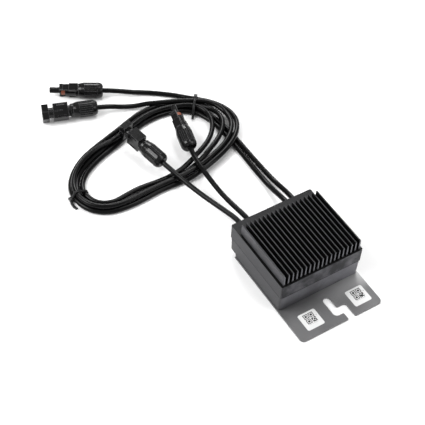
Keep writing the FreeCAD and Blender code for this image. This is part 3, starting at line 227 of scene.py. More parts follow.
def makeCoat(name, dark, light, grain, rough, relief, gloss=0.5, edgeHighlight=0.02):
    # A black coat or moulding: fine grain, uneven gloss and paler edges, which are a painted highlight.
    material, tree, shader = newMaterial(name)
    cloud = noise(tree, objectPlace(tree), *surface["coatMottle"])
    base = ramp(tree, cloud, *surface["coatTurn"], dark, light)
    edgeHighlightShare = edgeMask(tree, surface["coatEdge"])
    # Painted highlight: the edges that stick out are mixed towards a paler grey.
    colour = mixColour(tree, edgeHighlightShare, base, (edgeHighlight, edgeHighlight, edgeHighlight * 1.03))
    depth = (relief, surface["grainDepth"])
    dress(tree, shader, colour, cloud, rough, fineGrain(tree, grain), depth, Specular_IOR_Level=gloss)
    return material


def makeHeatSink():
    # A black coat with painted light and shade: greyer on the fins' tops and ends and on the plate's outer
    # walls, where the faces catch the light.
    settings = {
        "black": (0.0015, 0.0015, 0.0016),
        "plate": (0.006, 0.006, 0.007),
        "tops": (0.022, 0.022, 0.024),
        "ends": (0.131, 0.130, 0.143),
        "side": (0.35, 0.68, (0.033, 0.033, 0.036), (0.075, 0.074, 0.081)),
        "leftWall": (0.3, 0.7, (0.028, 0.028, 0.031), (0.042, 0.042, 0.046)),
        "frontWall": (0.45, 0.66, (0.026, 0.026, 0.029), (0.106, 0.105, 0.116)),
        "mottle": (42.0, 5.0, 0.65),
        "grain": 1900.0,
        "rough": (0.38, 0.55),
        "relief": (0.3, surface["grainDepth"]),
        "gloss": 0.2,
        "facing": 0.6,  # a face counts as turned one way from this share of its normal on
        "finHeight": 15.5 * mm,
        "firstFin": 4.2 * mm,  # from the left wall, so that only the first fin's side gets the painted light
        "behindFins": (16.0 * mm, 13.0 * mm),  # before the back wall
        "jointShade": 0.45 * mm,  # of painted shade above the case's rim, for the dark gap between the parts
    }
    low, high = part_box("heat_sink")
    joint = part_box("lower_case")[1][2]
    finFoot = high[2] - settings["finHeight"]
    material, tree, shader = newMaterial("heatSinkCoat")
    x, y, z, facingX, facingY, facingZ = placeAndFacing(tree)
    cloud = noise(tree, objectPlace(tree), *settings["mottle"])
    onFins = compare(tree, z, finFoot)
    onPlate = compare(tree, z, finFoot, above=False)
    up = compare(tree, facingZ, settings["facing"])
    forward = compare(tree, facingY, -settings["facing"], above=False)
    leftward = compare(tree, facingX, -settings["facing"], above=False)
    first = compare(tree, x, low[0] + settings["firstFin"], above=False)
    behind = blend(tree, y, *(high[1] - distance for distance in settings["behindFins"]))
    # Painted light: each face is grey by the way it faces. The plate's top stays black beside the fins as
    # painted shade and is greyer behind them.
    layers = [
        (both(tree, onPlate, up, behind), settings["plate"]),
        (both(tree, onFins, up), settings["tops"]),
        (both(tree, onFins, forward), settings["ends"]),
        (both(tree, onFins, leftward, first), ramp(tree, cloud, *settings["side"])),
        (both(tree, onPlate, leftward), ramp(tree, cloud, *settings["leftWall"])),
        (both(tree, onPlate, forward), ramp(tree, cloud, *settings["frontWall"])),
        # Painted shade along the joint with the case.
        (compare(tree, z, joint + settings["jointShade"], above=False), settings["black"]),
    ]
    base = settings["black"]
    for factor, colour in layers:
        base = mixColour(tree, factor, base, colour)
    fine = fineGrain(tree, settings["grain"])
    gloss = settings["gloss"]
    dress(tree, shader, base, cloud, settings["rough"], fine, settings["relief"], Specular_IOR_Level=gloss)
    return material


def makeCase():
    # A black moulding with painted light: its outer walls are greyer where they face forward or left, with a
    # painted sheen in patches towards the right and painted shade darker towards the foot, and a fine grain.
    settings = {
        "black": (0.008, 0.008, 0.0085),
        "left": (0.3, 0.7, (0.030, 0.030, 0.033), (0.044, 0.044, 0.048)),
        "front": (0.35, 0.7, (0.071, 0.070, 0.077), (0.126, 0.125, 0.138)),
        "foot": (0.047, 0.047, 0.052),
        "footHeight": 16.0 * mm,
        "shine": (0.146, 0.145, 0.160),
        "shineReach": (100.0 * mm, 8.0 * mm),  # from the right wall
        "shinePatches": (0.4, 0.62),
        "mottle": (30.0, 5.0, 0.6),
        "grain": 2600.0,
        "rough": (0.4, 0.55),
        "relief": (0.3, surface["grainDepth"]),
        "gloss": 0.3,
        "facing": (-0.35, -0.8),  # the normal's share where the grey starts and is full
        "wall": 6.0 * mm,
        "jointShade": 0.45 * mm,  # of painted shade below the rim, for the dark gap between the parts
    }
    low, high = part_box("lower_case")
    material, tree, shader = newMaterial("casePlastic")
    x, y, z, facingX, facingY = placeAndFacing(tree)[:5]
    cloud = noise(tree, objectPlace(tree), *settings["mottle"])
    atFront = compare(tree, y, low[1] + settings["wall"], above=False)
    atLeft = compare(tree, x, low[0] + settings["wall"], above=False)
    forward = both(tree, blend(tree, facingY, *settings["facing"]), atFront)
    leftward = both(tree, blend(tree, facingX, *settings["facing"]), atLeft)
    # Painted shade: the front is darker towards the foot.
    rise = blend(tree, z, low[2], low[2] + settings["footHeight"])
    front = mixColour(tree, rise, settings["foot"], ramp(tree, cloud, *settings["front"]))
    # Painted sheen: paler patches on the front towards the right wall.
    rightward = blend(tree, x, *(high[0] - distance for distance in settings["shineReach"]))
    glow = both(tree, rightward, blend(tree, cloud, *settings["shinePatches"]))
    front = mixColour(tree, glow, front, settings["shine"])
    # Painted light: faces turned forward or to the left are greyer than the black.
    base = mixColour(tree, forward, settings["black"], front)
    base = mixColour(tree, leftward, base, ramp(tree, cloud, *settings["left"]))
    # Painted shade along the joint with the heat sink.
    atJoint = compare(tree, z, high[2] - settings["jointShade"])
    base = mixColour(tree, atJoint, base, settings["black"])
    fine = fineGrain(tree, settings["grain"])
    gloss = settings["gloss"]
    dress(tree, shader, base, cloud, settings["rough"], fine, settings["relief"], Specular_IOR_Level=gloss)
    return material


def makeSteel():
    # Plain sheet steel: faint rolling lines, soft mottling, a painted sheen that makes it paler towards the
    # box, bright cut edge.
    settings = {
        "dark": (0.112, 0.112, 0.115),
        "light": (0.145, 0.145, 0.148),
        "bright": (0.42, 0.42, 0.423),
        "brightFrom": -30.0 * mm,
        "brightDepth": (22.0 * mm, 52.0 * mm),  # from the front edge
        "cutEdge": (0.4, 0.4, 0.4),
        "edge": 0.4 * mm,
        "mottle": (26.0, 5.0),
        "turn": (0.3, 0.72),
        "rolling": (1400, 14, 60),
        "rough": (0.38, 0.5),
        "relief": (0.06, 0.1 * mm),
        "metallic": 0.35,
    }
    low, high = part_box("mounting_bracket")
    material, tree, shader = newMaterial("bracketSteel")
    x, y = placeAndFacing(tree)[:2]
    lines = noise(tree, objectPlace(tree, settings["rolling"]), 1.0)
    cloud = noise(tree, objectPlace(tree), *settings["mottle"])
    base = ramp(tree, cloud, *settings["turn"], settings["dark"], settings["light"])
    # Painted sheen: the sheet turns much paler at its back right, next to the box.
    rightward = blend(tree, x, settings["brightFrom"], high[0])
    backward = blend(tree, y, *(low[1] + distance for distance in settings["brightDepth"]))
    base = mixColour(tree, both(tree, rightward, backward), base, settings["bright"])
    base = mixColour(tree, edgeMask(tree, settings["edge"]), base, settings["cutEdge"])
    metallic = settings["metallic"]
    dress(tree, shader, base, lines, settings["rough"], lines, settings["relief"], Metallic=metallic)
    return material


def makeMetal(name, colour, rough):
    # Bare metal with darker patches and a barely uneven surface.
    material, tree, shader = newMaterial(name)
    cloud = noise(tree, objectPlace(tree), *surface["metalMottle"])
    darker = tuple(channel * surface["metalDark"] for channel in colour)
    base = ramp(tree, cloud, *surface["softTurn"], darker, colour)
    limits = [rough * share for share in surface["metalRough"]]
    relief = (surface["metalRelief"], surface["softDepth"])
    dress(tree, shader, base, cloud, limits, cloud, relief, Metallic=1.0)
    return material


def makeSoft(name, dark, light, rough, scale=220.0, relief=0.12, gloss=0.5):
    # Rubber, film or laminate: two close shades and a soft uneven surface.
    material, tree, shader = newMaterial(name)
    cloud = noise(tree, objectPlace(tree), scale, surface["softDetail"])
    base = ramp(tree, cloud, *surface["softTurn"], dark, light)
    limits = [rough * share for share in surface["softRough"]]
    depth = (relief, surface["softDepth"])
    dress(tree, shader, base, cloud, limits, cloud, depth, Specular_IOR_Level=gloss)
    return material


materials = {
    "case_plastic": makeCase(),
    "heat_sink_coat": makeHeatSink(),
    "bracket_steel": makeSteel(),
    "screw_steel": makeMetal("screwSteel", (0.55, 0.55, 0.56), 0.35),
    "label_film": makeSoft("labelFilm", (0.69, 0.69, 0.69), (0.73, 0.73, 0.73), 0.5, scale=90.0, relief=0.04),
    "cable_jacket": makeCoat(
        "cableJacket",
        (0.002, 0.002, 0.0021),
        (0.004, 0.004, 0.0042),
        grain=1500.0,
        rough=(0.15, 0.21),
        relief=0.03,
        gloss=0.12,
    ),
    "gland_rubber": makeSoft("glandRubber", (0.006, 0.006, 0.0065), (0.012, 0.012, 0.0125), 0.6),
    "connector_plastic": makeCoat(
        "connectorPlastic",
        (0.002, 0.002, 0.0021),
        (0.004, 0.004, 0.0042),
        grain=2200.0,
        rough=(0.17, 0.24),
        relief=0.04,
        gloss=0.26,
        # A strong painted highlight along the connector's edges.
        edgeHighlight=0.14,
    ),
    "front_seal_rubber": makeSoft("frontSealRubber", (0.19, 0.045, 0.02), (0.27, 0.07, 0.032), 0.45),
    "contact_metal": makeMetal("contactMetal", (0.78, 0.77, 0.74), 0.25),
    "board_laminate": makeSoft("boardLaminate", (0.01, 0.10, 0.05), (0.02, 0.16, 0.08), 0.35, scale=60.0),
    "ferrite": makeSoft("ferrite", (0.05, 0.05, 0.055), (0.09, 0.09, 0.095), 0.7),
    "winding_wire": makeMetal("windingWire", (0.75, 0.36, 0.17), 0.3),
    "capacitor_can": makeSoft("capacitorCan", (0.03, 0.035, 0.05), (0.05, 0.055, 0.075), 0.3),
    "chip_epoxy": makeSoft("chipEpoxy", (0.02, 0.02, 0.022), (0.035, 0.035, 0.038), 0.6),
    "silicone_pad": makeSoft("siliconePad", (0.30, 0.32, 0.36), (0.38, 0.40, 0.44), 0.7),
    "tie_nylon": makeCoat(
        "tieNylon",
        (0.004, 0.004, 0.0043),
        (0.010, 0.010, 0.0105),
        grain=1800.0,
        rough=(0.28, 0.38),
        relief=0.08,
        gloss=0.25,
    ),
}
ink = {"rough": 0.6, "scale": 500.0, "relief": 0.02, "gloss": 0.08}
labelInk = makeSoft("labelInk", (0.008, 0.008, 0.0085), (0.02, 0.02, 0.021), **ink)
greyInk = makeSoft("greyInk", (0.22, 0.22, 0.22), (0.30, 0.30, 0.30), **ink)
for part in frame["record"]["subparts"]:
    node = frame["nodes"][part["node"]]
    node.data.materials.clear()
    node.data.materials.append(materials[part["material_slot"]])
print("stage: materials", len(materials))


def addPiece(name, data):
    # Adds a finished mesh or curve as a piece of the root body.
    piece = bpy.data.objects.new(name, data)
    scene.collection.objects.link(piece)
    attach(piece, "root")
    return piece


# Cables
cable = {"diameter": 7 * mm, "roundness": 5, "steps": 8}


def metres(points):
    return [Vector(point) * mm for point in points]


def makeCable(name, points):
    # A round cable on one smooth curve with those control points.
    data = bpy.data.curves.new(name, "CURVE")
    data.dimensions = "3D"
    data.bevel_depth = cable["diameter"] / 2
    data.bevel_resolution = cable["roundness"]
    data.resolution_u = cable["steps"]
    data.use_fill_caps = True
    spline = data.splines.new("NURBS")
    spline.points.add(len(points) - 1)
    for target, point in zip(spline.points, points):
        target.co = (*point, 1.0)
    spline.order_u = 3  # low, so that the cable keeps close to its points
    spline.use_endpoint_u = True
    data.materials.append(materials["cable_jacket"])
    return addPiece(name, data)


def lineLength(piece):
    # The length of a curve's own centre line.
    plain = piece.data.copy()
    plain.bevel_depth = 0.0
    holder = bpy.data.objects.new("lengthProbe", plain)
    mesh = bpy.data.meshes.new_from_object(holder)
    points = [vertex.co.copy() for vertex in mesh.vertices]
    bpy.data.objects.remove(holder)
    bpy.data.meshes.remove(mesh)
    bpy.data.curves.remove(plain)
    return sum((after - before).length for before, after in zip(points, points[1:]))


# Points of the routes in millimetres
inputRoutes = {
    "input_cable_1": [
        (-32.0, 85.75, 18.0),
        (-32.0, 102.75, 18.0),
        (-37.2, 126.0, 16.0),
        (-44.4, 151.0, 15.0),
        (-52.0, 176.0, 15.8),
        (-58.9, 203.0, 17.6),
        (-63.1, 228.3, 16.9),
        (-68.5, 250.5, 19.5),
    ],
    "input_cable_2": [
        (-20.3, 85.75, 18.0),
        (-20.3, 102.75, 18.0),
        (-22.8, 126.0, 16.2),
        (-25.2, 151.0, 15.3),
        (-25.8, 178.0, 16.1),
        (-24.9, 206.0, 17.6),
        (-21.7, 233.0, 16.9),
        (-16.8, 255.3, 19.5),
    ],
}
leads = {
    "one": [
        (39.2, 85.75),
        (39.2, 99.75),
        (40.4, 121.0),
        (42.0, 143.0),
        (42.4, 166.0),
        (42.7, 188.0),
        (43.3, 209.0),
    ],
    "two": [
        (49.8, 85.75),
        (49.8, 99.75),
        (52.1, 121.0),
        (53.2, 143.0),
        (52.6, 166.0),
        (51.7, 188.0),
        (51.7, 209.0),
    ],
}
leadHeights = [18.0, 18.0, 11.6, 4.8, 3.6, 3.8, 3.6]
tails = {
    "one": [
        (8.0, 362.5, 3.6),
        (-10.0, 375.5, 3.7),
        (-30.0, 385.5, 5.6),
        (-53.7, 396.1, 11.3),
        (-77.9, 410.1, 11.3),
    ],
    "two": [
        (-8.0, 344.0, 9.8),
        (-23.0, 352.0, 8.4),
        (-38.0, 359.0, 4.6),
        (-56.0, 365.4, 6.4),
        (-77.7, 372.4, 12.0),
        (-102.2, 381.1, 12.6),
    ],
}

# Each output cable winds twice: under the loops and along the inside of the coil, out over the
# leads at the right end, along the outside, and out over the leads again to its tail. At the left
# end three strands lie side by side, and the outside stretch of cable one lies on top of them.
windings = {
    "one": {
        "under": [(43.5, 229, 3.6), (43, 248, 3.6), (42, 268, 3.6), (38.4, 287.5, 3.6), (29.8, 306, 4.8)],
        "inside": [
            (14.2, 319.2, 4.6),
            (-8, 326.5, 3.6),
            (-31, 327.8, 3.6),
            (-56, 323, 3.6),
            (-81, 314.5, 3.6),
            (-107, 304, 3.6),
            (-123, 299, 3.6),
            (-138.5, 292.4, 3.6),
            (-153.3, 284.6, 3.6),
            (-165.8, 274, 3.6),
            (-173.6, 261.8, 4.3),
            (-176, 250, 5),
            (-173.7, 238.3, 4.3),
            (-167, 228.4, 3.6),
            (-157.1, 221.9, 3.6),
            (-145.4, 219.9, 3.6),
            (-130.5, 221.9, 3.6),
            (-114, 224, 3.6),
            (-97, 223.4, 3.6),
        ],
        "firstTurn": [
            (-79, 221.4, 3.6),
            (-62, 221.5, 4),
            (-45, 223.5, 5),
            (-28, 228, 8),
            (-10, 235, 10.6),
            (7, 243.5, 10.6),
            (21, 254, 10.6),
            (32, 267, 10.6),
            (38.5, 281, 10.6),
            (39.9, 296, 10.6),
            (34, 310.8, 11.4),
            (21, 321, 11.2),
        ],
        "outside": [
            (4, 328, 10.2),
            (-11, 331.6, 10.2),
            (-26, 332.4, 10.2),
            (-41, 330.4, 10.2),
            (-56, 326.5, 10.2),
            (-71, 321, 10.2),
            (-86, 316, 10.2),
            (-102, 311.8, 10),
            (-120.5, 311.2, 9.8),
            (-141, 305.4, 9.7),
            (-161, 294.3, 9.7),
            (-175, 281.2, 9.7),
            (-184.2, 266, 10.1),
            (-187.6, 250, 10.9),
            (-184.4, 233.9, 10.1),
            (-175.3, 220.2, 9.7),
            (-161.6, 211.2, 9.7),
            (-145.4, 208, 9.7),
            (-128.5, 208, 9.7),
            (-106, 209.6, 9.7),
        ],
        "lastTurn": [
            (-85, 210.5, 9.8),
            (-67, 210, 10.2),
            (-48, 210.5, 10.2),
            (-26, 212.5, 10.6),
            (-4, 218.5, 10.6),
            (16, 225.5, 10.6),
            (35, 235, 10.6),
            (50, 247.5, 10.6),
            (61, 264, 9.5),
            (64.5, 283, 7),
            (60, 301, 9),
            (49, 315.5, 10.2),
            (34.5, 323, 11.2),
            (21, 330, 11.2),
            (7, 337.5, 10.2),
        ],
    },
    "two": {
        "under": [(51.5, 230, 3.6), (51, 250, 3.6), (49.5, 271, 3.6), (45, 293, 3.6), (35, 312, 4.8)],
        "inside": [
            (17, 327.5, 4.6),
            (-6, 334.5, 3.6),
            (-30, 335.3, 3.6),
            (-57, 330.4, 3.6),
            (-84, 322, 3.6),
            (-111, 311, 3.6),
            (-127.5, 305.6, 3.6),
            (-142.6, 299.2, 3.6),
            (-158.4, 291.1, 3.6),
            (-172, 278.8, 3.6),
            (-180.8, 264.4, 4.3),
            (-183.7, 250, 5),
            (-180.8, 235.3, 4.3),
            (-172.5, 222.9, 3.6),
            (-160.1, 214.8, 3.6),
            (-145.4, 212, 3.6),
            (-129, 212.8, 3.6),
            (-115, 214.2, 3.6),
            (-101, 215, 3.6),
        ],
        "firstTurn": [
            (-80, 214, 3.6),
            (-58, 214.6, 3.8),
            (-35, 217, 5),
            (-12, 224, 8.6),
            (9, 234, 10.6),
            (26, 243.5, 10.6),
            (40, 255, 10.6),
            (50, 269, 10.6),
            (53.5, 285, 9.8),
            (50.5, 302, 5.6),
            (41.5, 317.5, 4.8),
        ],
        "outside": [
            (27, 329.5, 4.8),
            (10, 338.5, 3.6),
            (-6, 344, 3.6),
            (-22, 346.3, 3.6),
            (-40, 345, 3.6),
            (-61, 338.7, 3.6),
            (-84, 330.5, 3.6),
            (-108, 323, 3.6),
            (-128, 316.5, 3.6),
            (-147, 308.9, 3.6),
            (-163.6, 298.2, 3.6),
            (-178.2, 284.2, 3.6),
            (-188.2, 267.8, 4.3),
            (-191.5, 250, 5),
            (-188, 232.4, 4.3),
            (-178, 217.4, 3.6),
            (-163, 207.4, 3.6),
            (-145.4, 204, 3.6),
            (-126, 203.4, 3.6),
            (-107, 205, 3.6),
        ],
        "lastTurn": [
            (-88, 207, 3.6),
            (-68, 206.5, 3.8),
            (-48, 204.5, 4.4),
            (-28, 205.5, 8),
            (-6, 210, 10.2),
            (15, 217, 10.6),
            (34, 226, 10.6),
            (52, 238.5, 10.6),
            (66, 256, 9.5),
            (72, 276, 6.5),
            (69.5, 296, 4.4),
            (61, 312.5, 3.6),
            (48.5, 324.5, 4.8),
            (36, 335.5, 4.8),
            (23.5, 349.5, 3.6),
        ],
    },
}


def outputRoute(lead, tail):
    # Lead, windings and tail in a row. A cable may end in the other one's tail.
    route = [(*spot, height) for spot, height in zip(leads[lead], leadHeights)]
    for stretch in windings[lead].values():
        route += stretch
    return route + tails[tail]


outputRoutes = {
    "output_cable_1": outputRoute("one", "two"),
    "output_cable_2": outputRoute("two", "one"),
}


# Geometry Nodes helpers
def newGroup(name, inputs):
    group = bpy.data.node_groups.new(name, "GeometryNodeTree")
    group.interface.new_socket("Geometry", in_out="INPUT", socket_type="NodeSocketGeometry")
    for label, kind, value in inputs:
        socket = group.interface.new_socket(label, in_out="INPUT", socket_type=kind)
        socket.default_value = value
    group.interface.new_socket("Geometry", in_out="OUTPUT", socket_type="NodeSocketGeometry")
    return group, group.nodes.new("NodeGroupInput"), group.nodes.new("NodeGroupOutput")


def calculate(group, operation, *values):
    # One sum on numbers or on the outputs of other nodes.
    node = addNode(group, "ShaderNodeMath", operation=operation)
    for socket, value in zip(node.inputs, values):
        if isinstance(value, (int, float)):
            socket.default_value = value
        else:
            group.links.new(value, socket)
    return node.outputs["Value"]


def finishGroup(group, geometry, output, material):
    # Makes the instances real, gives them their material and hands them out.
    real = addNode(group, "GeometryNodeRealizeInstances")
    paint = addNode(group, "GeometryNodeSetMaterial")
    paint.inputs["Material"].default_value = material
    group.links.new(geometry, real.inputs["Geometry"])
    group.links.new(real.outputs["Geometry"], paint.inputs["Geometry"])
    group.links.new(paint.outputs["Geometry"], output.inputs["Geometry"])


def plainPiece(name, source, group):
    # Runs the node group on the source once and keeps the plain mesh as a piece of the root body.
    scene.collection.objects.link(source)
    modifier = source.modifiers.new("nodes", "NODES")
    modifier.node_group = group
    bpy.context.view_layer.update()
    graph = bpy.context.evaluated_depsgraph_get()
    mesh = bpy.data.meshes.new_from_object(source.evaluated_get(graph))
    mesh.name = name
    source.modifiers.remove(modifier)
    bpy.data.objects.remove(source)
    return addPiece(name, mesh)


# Cable ties
tie = {
    "width": 3.4 * mm,
    "thickness": 1.1 * mm,
    "corner": 3.0 * mm,
    "notchApart": 1.3 * mm,
    "notch": 0.5 * mm,
    "notchShare": 0.72,  # of the strap's width
    "notchRise": 0.3 * mm,
    "head": 5.2 * mm,
    "headShare": 0.85,  # its breadth and height as a share of its length
    "headEdge": 0.5 * mm,
}


def makeStrapGroup():
    # A flat strap swept along the path, with notches across it at even steps.
    group, given, output = newGroup(
        "strap",
        [
            ("Width", "NodeSocketFloat", tie["width"]),
            ("Thickness", "NodeSocketFloat", tie["thickness"]),
            ("Notch Spacing", "NodeSocketFloat", tie["notchApart"]),
            ("Notch", "NodeSocketFloat", tie["notch"]),
        ],
    )
    path = addNode(group, "GeometryNodeMeshToCurve")
    group.links.new(given.outputs["Geometry"], path.inputs["Mesh"])
    profile = addNode(group, "GeometryNodeCurvePrimitiveQuadrilateral")
    group.links.new(given.outputs["Width"], profile.inputs["Width"])
    group.links.new(given.outputs["Thickness"], profile.inputs["Height"])
    sweep = addNode(group, "GeometryNodeCurveToMesh")
    setInputs(sweep, Fill_Caps=True)
    group.links.new(path.outputs["Curve"], sweep.inputs["Curve"])
    group.links.new(profile.outputs["Curve"], sweep.inputs["Profile Curve"])
    steps = addNode(group, "GeometryNodeCurveToPoints", mode="LENGTH")
    group.links.new(path.outputs["Curve"], steps.inputs["Curve"])
    group.links.new(given.outputs["Notch Spacing"], steps.inputs["Length"])
    size = addNode(group, "ShaderNodeCombineXYZ")
    across = calculate(group, "MULTIPLY", given.outputs["Width"], tie["notchShare"])
    through = calculate(group, "ADD", given.outputs["Thickness"], tie["notchRise"])
    group.links.new(across, size.inputs["X"])
    group.links.new(through, size.inputs["Y"])
    group.links.new(given.outputs["Notch"], size.inputs["Z"])
    rib = addNode(group, "GeometryNodeMeshCube")
    group.links.new(size.outputs["Vector"], rib.inputs["Size"])
    ribs = addNode(group, "GeometryNodeInstanceOnPoints")
    group.links.new(steps.outputs["Points"], ribs.inputs["Points"])
    group.links.new(rib.outputs["Mesh"], ribs.inputs["Instance"])
    group.links.new(steps.outputs["Rotation"], ribs.inputs["Rotation"])
    together = addNode(group, "GeometryNodeJoinGeometry")
    group.links.new(ribs.outputs["Instances"], together.inputs["Geometry"])
    group.links.new(sweep.outputs["Mesh"], together.inputs["Geometry"])
    finishGroup(group, together.outputs["Geometry"], output, materials["tie_nylon"])
    return group


def roundPath(corners, radius, steps=5):
    # The closed path through those corners in the strap's plane, each one rounded. It starts on the
    # level side after the first corner, because a sweep that starts upright turns the strap on edge.
    path = []
    for index, corner in enumerate(corners):
        spot = Vector(corner)
        before = Vector(corners[index - 1]) - spot
        after = Vector(corners[(index + 1) % len(corners)]) - spot
        start = spot + before.normalized() * radius
        end = spot + after.normalized() * radius
        for step in range(steps + 1):
            share = step / steps
            path.append(start.lerp(spot, share).lerp(spot.lerp(end, share), share))
    return path[steps:] + path[:steps]


def makeTie(name, middle, heading, corners, head, tail):
    # Corners, head and tail are given in millimetres, outward and up in the plane across the
    # cables. The tail's third value runs along the cables.
    across = Vector((math.cos(math.radians(heading)), math.sin(math.radians(heading)), 0))
    along = Vector((-across.y, across.x, 0))
    base = Vector((*middle, 0)) * mm

    def place(spot, side=0.0):
        return base + across * spot[0] * mm + Vector((0, 0, spot[1] * mm)) + along * side * mm

    loop = [place(spot) for spot in roundPath(corners, tie["corner"] / mm)]
    free = [place(spot, side) for *spot, side in tail]
    mesh = bpy.data.meshes.new(name)
    edges = [(index, (index + 1) % len(loop)) for index in range(len(loop))]
    edges += [(len(loop) + index, len(loop) + index + 1) for index in range(len(free) - 1)]
    mesh.from_pydata(loop + free, edges, [])
    strap = plainPiece(f"{name}_strap", bpy.data.objects.new(name, mesh), strapGroup)

    # The head is a small bevelled block round the strap.
    work = bmesh.new()
    bmesh.ops.create_cube(work, size=tie["head"])
    for vertex in work.verts:
        x, y, z = vertex.co
        upward = Vector((0, 0, z * tie["headShare"]))
        vertex.co = place(head) + across * x * tie["headShare"] + along * y + upward
    edge = tie["headEdge"]
    bmesh.ops.bevel(work, geom=work.edges[:], offset=edge, segments=2, affect="EDGES", profile=0.5)
    block = bpy.data.meshes.new(f"{name}_head")
    work.to_mesh(block)
    work.free()
    block.materials.append(materials["tie_nylon"])
    piece = addPiece(f"{name}_head", block)
    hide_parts(name)
    return [strap, piece]


strapGroup = makeStrapGroup()
ties = makeTie(
    "cable_tie_right",
    middle=(34.8, 319.4),
    heading=52.0,
    corners=[(-17.7, 0.7), (17.1, 0.7), (17.1, 7.0), (4.3, 15.2), (-10.3, 15.5), (-17.7, 6.1)],
    head=(11.6, 11.6),
    tail=[
        (9.0, 13.9, 0),
        (4.6, 16.5, 0),
        (-10.9, 16.8, 0),
        (-15.2, 11.4, 0),
        (-19.6, 5.6, 0),
        (-22.4, 2.8, 0),
        (-24.5, 1.6, 0),
    ],
)
ties += makeTie(
    "cable_tie_left",
    middle=(-183.6, 251.0),
    heading=182.0,
    corners=[(-12.4, 0.7), (11.2, 0.7), (11.2, 6.0), (4.6, 16.1), (-12.4, 7.4)],
    head=(12.4, 4.4),
    tail=[(13.2, 3.2, 2.0), (14.2, 2.0, 5.5), (14.0, 1.3, 10.5), (12.6, 1.3, 15.5)],
)
print("stage: ties", len(ties))

# The cables are made last; each one hides the parts of the model that it replaces
for name, connector in (("input_cable_1", "input_socket"), ("input_cable_2", "input_plug")):
    points = metres(inputRoutes[name])
    piece = makeCable(f"{name}_jacket", points)
    length = lineLength(piece)
    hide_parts(name)
    print("stage:", name, "length", round(length, 3))
for name, connector, nodes, extra in (
    ("output_cable_1", "output_socket", ("output_lead_1", "output_tail_2"), []),
    ("output_cable_2", "output_plug", ("output_lead_2", "output_tail_1", "cable_coil"), ties),
):
    points = metres(outputRoutes[name])
    piece = makeCable(f"{name}_jacket", points)
    length = lineLength(piece)
    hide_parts(*nodes)
    print("stage:", name, "length", round(length, 3))


# Printed marks on the labels
mark = {
    "side": 14.2 * mm,
    "cells": 15,
    "ink": 0.72,  # the share of inked cells
    "lift": 0.03 * mm,
    "corner": 3.0,  # cells from a framed corner's middle to its frame
    "cornerCore": 1.5,
    "cornerClear": 4.5,
    "dashes": {"count": 9, "from": -6.4, "apart": 1.45, "height": -8.6, "size": (0.95, 0.5)},
    "ticks": [(8.7, 0.6, 1.7, 0.5), (8.9, -0.4, 1.1, 0.4)],  # place and size
}


def makeCodeGroup():
    # A square of small ink cells: three framed corners, and a seeded random fill elsewhere.
    group, given, output = newGroup(
        "codeSquare",
        [
            ("Side", "NodeSocketFloat", mark["side"]),
            ("Cells", "NodeSocketInt", mark["cells"]),
            ("Ink Share", "NodeSocketFloat", mark["ink"]),
            ("Seed", "NodeSocketInt", 0),
        ],
    )
    last = calculate(group, "SUBTRACT", given.outputs["Cells"], 1.0)
    cell = calculate(group, "DIVIDE", given.outputs["Side"], given.outputs["Cells"])
    reach = calculate(group, "MULTIPLY", cell, last)
    grid = addNode(group, "GeometryNodeMeshGrid")
    for socket in ("Size X", "Size Y"):
        group.links.new(reach, grid.inputs[socket])
    for socket in ("Vertices X", "Vertices Y"):
        group.links.new(given.outputs["Cells"], grid.inputs[socket])
    spot = addNode(group, "ShaderNodeSeparateXYZ")
    group.links.new(addNode(group, "GeometryNodeInputPosition").outputs["Position"], spot.inputs["Vector"])
    middle = calculate(group, "DIVIDE", last, 2.0)
    column = calculate(group, "ADD", calculate(group, "DIVIDE", spot.outputs["X"], cell), middle)
    row = calculate(group, "ADD", calculate(group, "DIVIDE", spot.outputs["Y"], cell), middle)
    low = mark["corner"]
    high = calculate(group, "SUBTRACT", last, low)
    nearest = None
    for across, along in ((low, high), (high, high), (low, low)):
        sideways = calculate(group, "ABSOLUTE", calculate(group, "SUBTRACT", column, across))
        upways = calculate(group, "ABSOLUTE", calculate(group, "SUBTRACT", row, along))
        away = calculate(group, "MAXIMUM", sideways, upways)
        nearest = away if nearest is None else calculate(group, "MINIMUM", nearest, away)
    outside = calculate(group, "GREATER_THAN", nearest, mark["cornerClear"])
    frameRing = calculate(group, "COMPARE", nearest, mark["corner"], 0.4)  # to within 0.4 of a cell
    core = calculate(group, "LESS_THAN", nearest, mark["cornerCore"])
    chance = addNode(group, "FunctionNodeRandomValue", data_type="FLOAT")
    group.links.new(given.outputs["Seed"], chance.inputs["Seed"])
    draw = chance.outputs[1]  # the node's number output
    inked = calculate(group, "LESS_THAN", draw, given.outputs["Ink Share"])
    chosen = calculate(group, "MULTIPLY", outside, inked)
    chosen = calculate(group, "MAXIMUM", chosen, calculate(group, "MAXIMUM", frameRing, core))
    dot = addNode(group, "GeometryNodeMeshGrid")
    setInputs(dot, Vertices_X=2, Vertices_Y=2)
    for socket in ("Size X", "Size Y"):
        group.links.new(cell, dot.inputs[socket])
    dots = addNode(group, "GeometryNodeInstanceOnPoints")
    group.links.new(grid.outputs["Mesh"], dots.inputs["Points"])
    group.links.new(chosen, dots.inputs["Selection"])
    group.links.new(dot.outputs["Mesh"], dots.inputs["Instance"])
    finishGroup(group, dots.outputs["Instances"], output, labelInk)
    return group


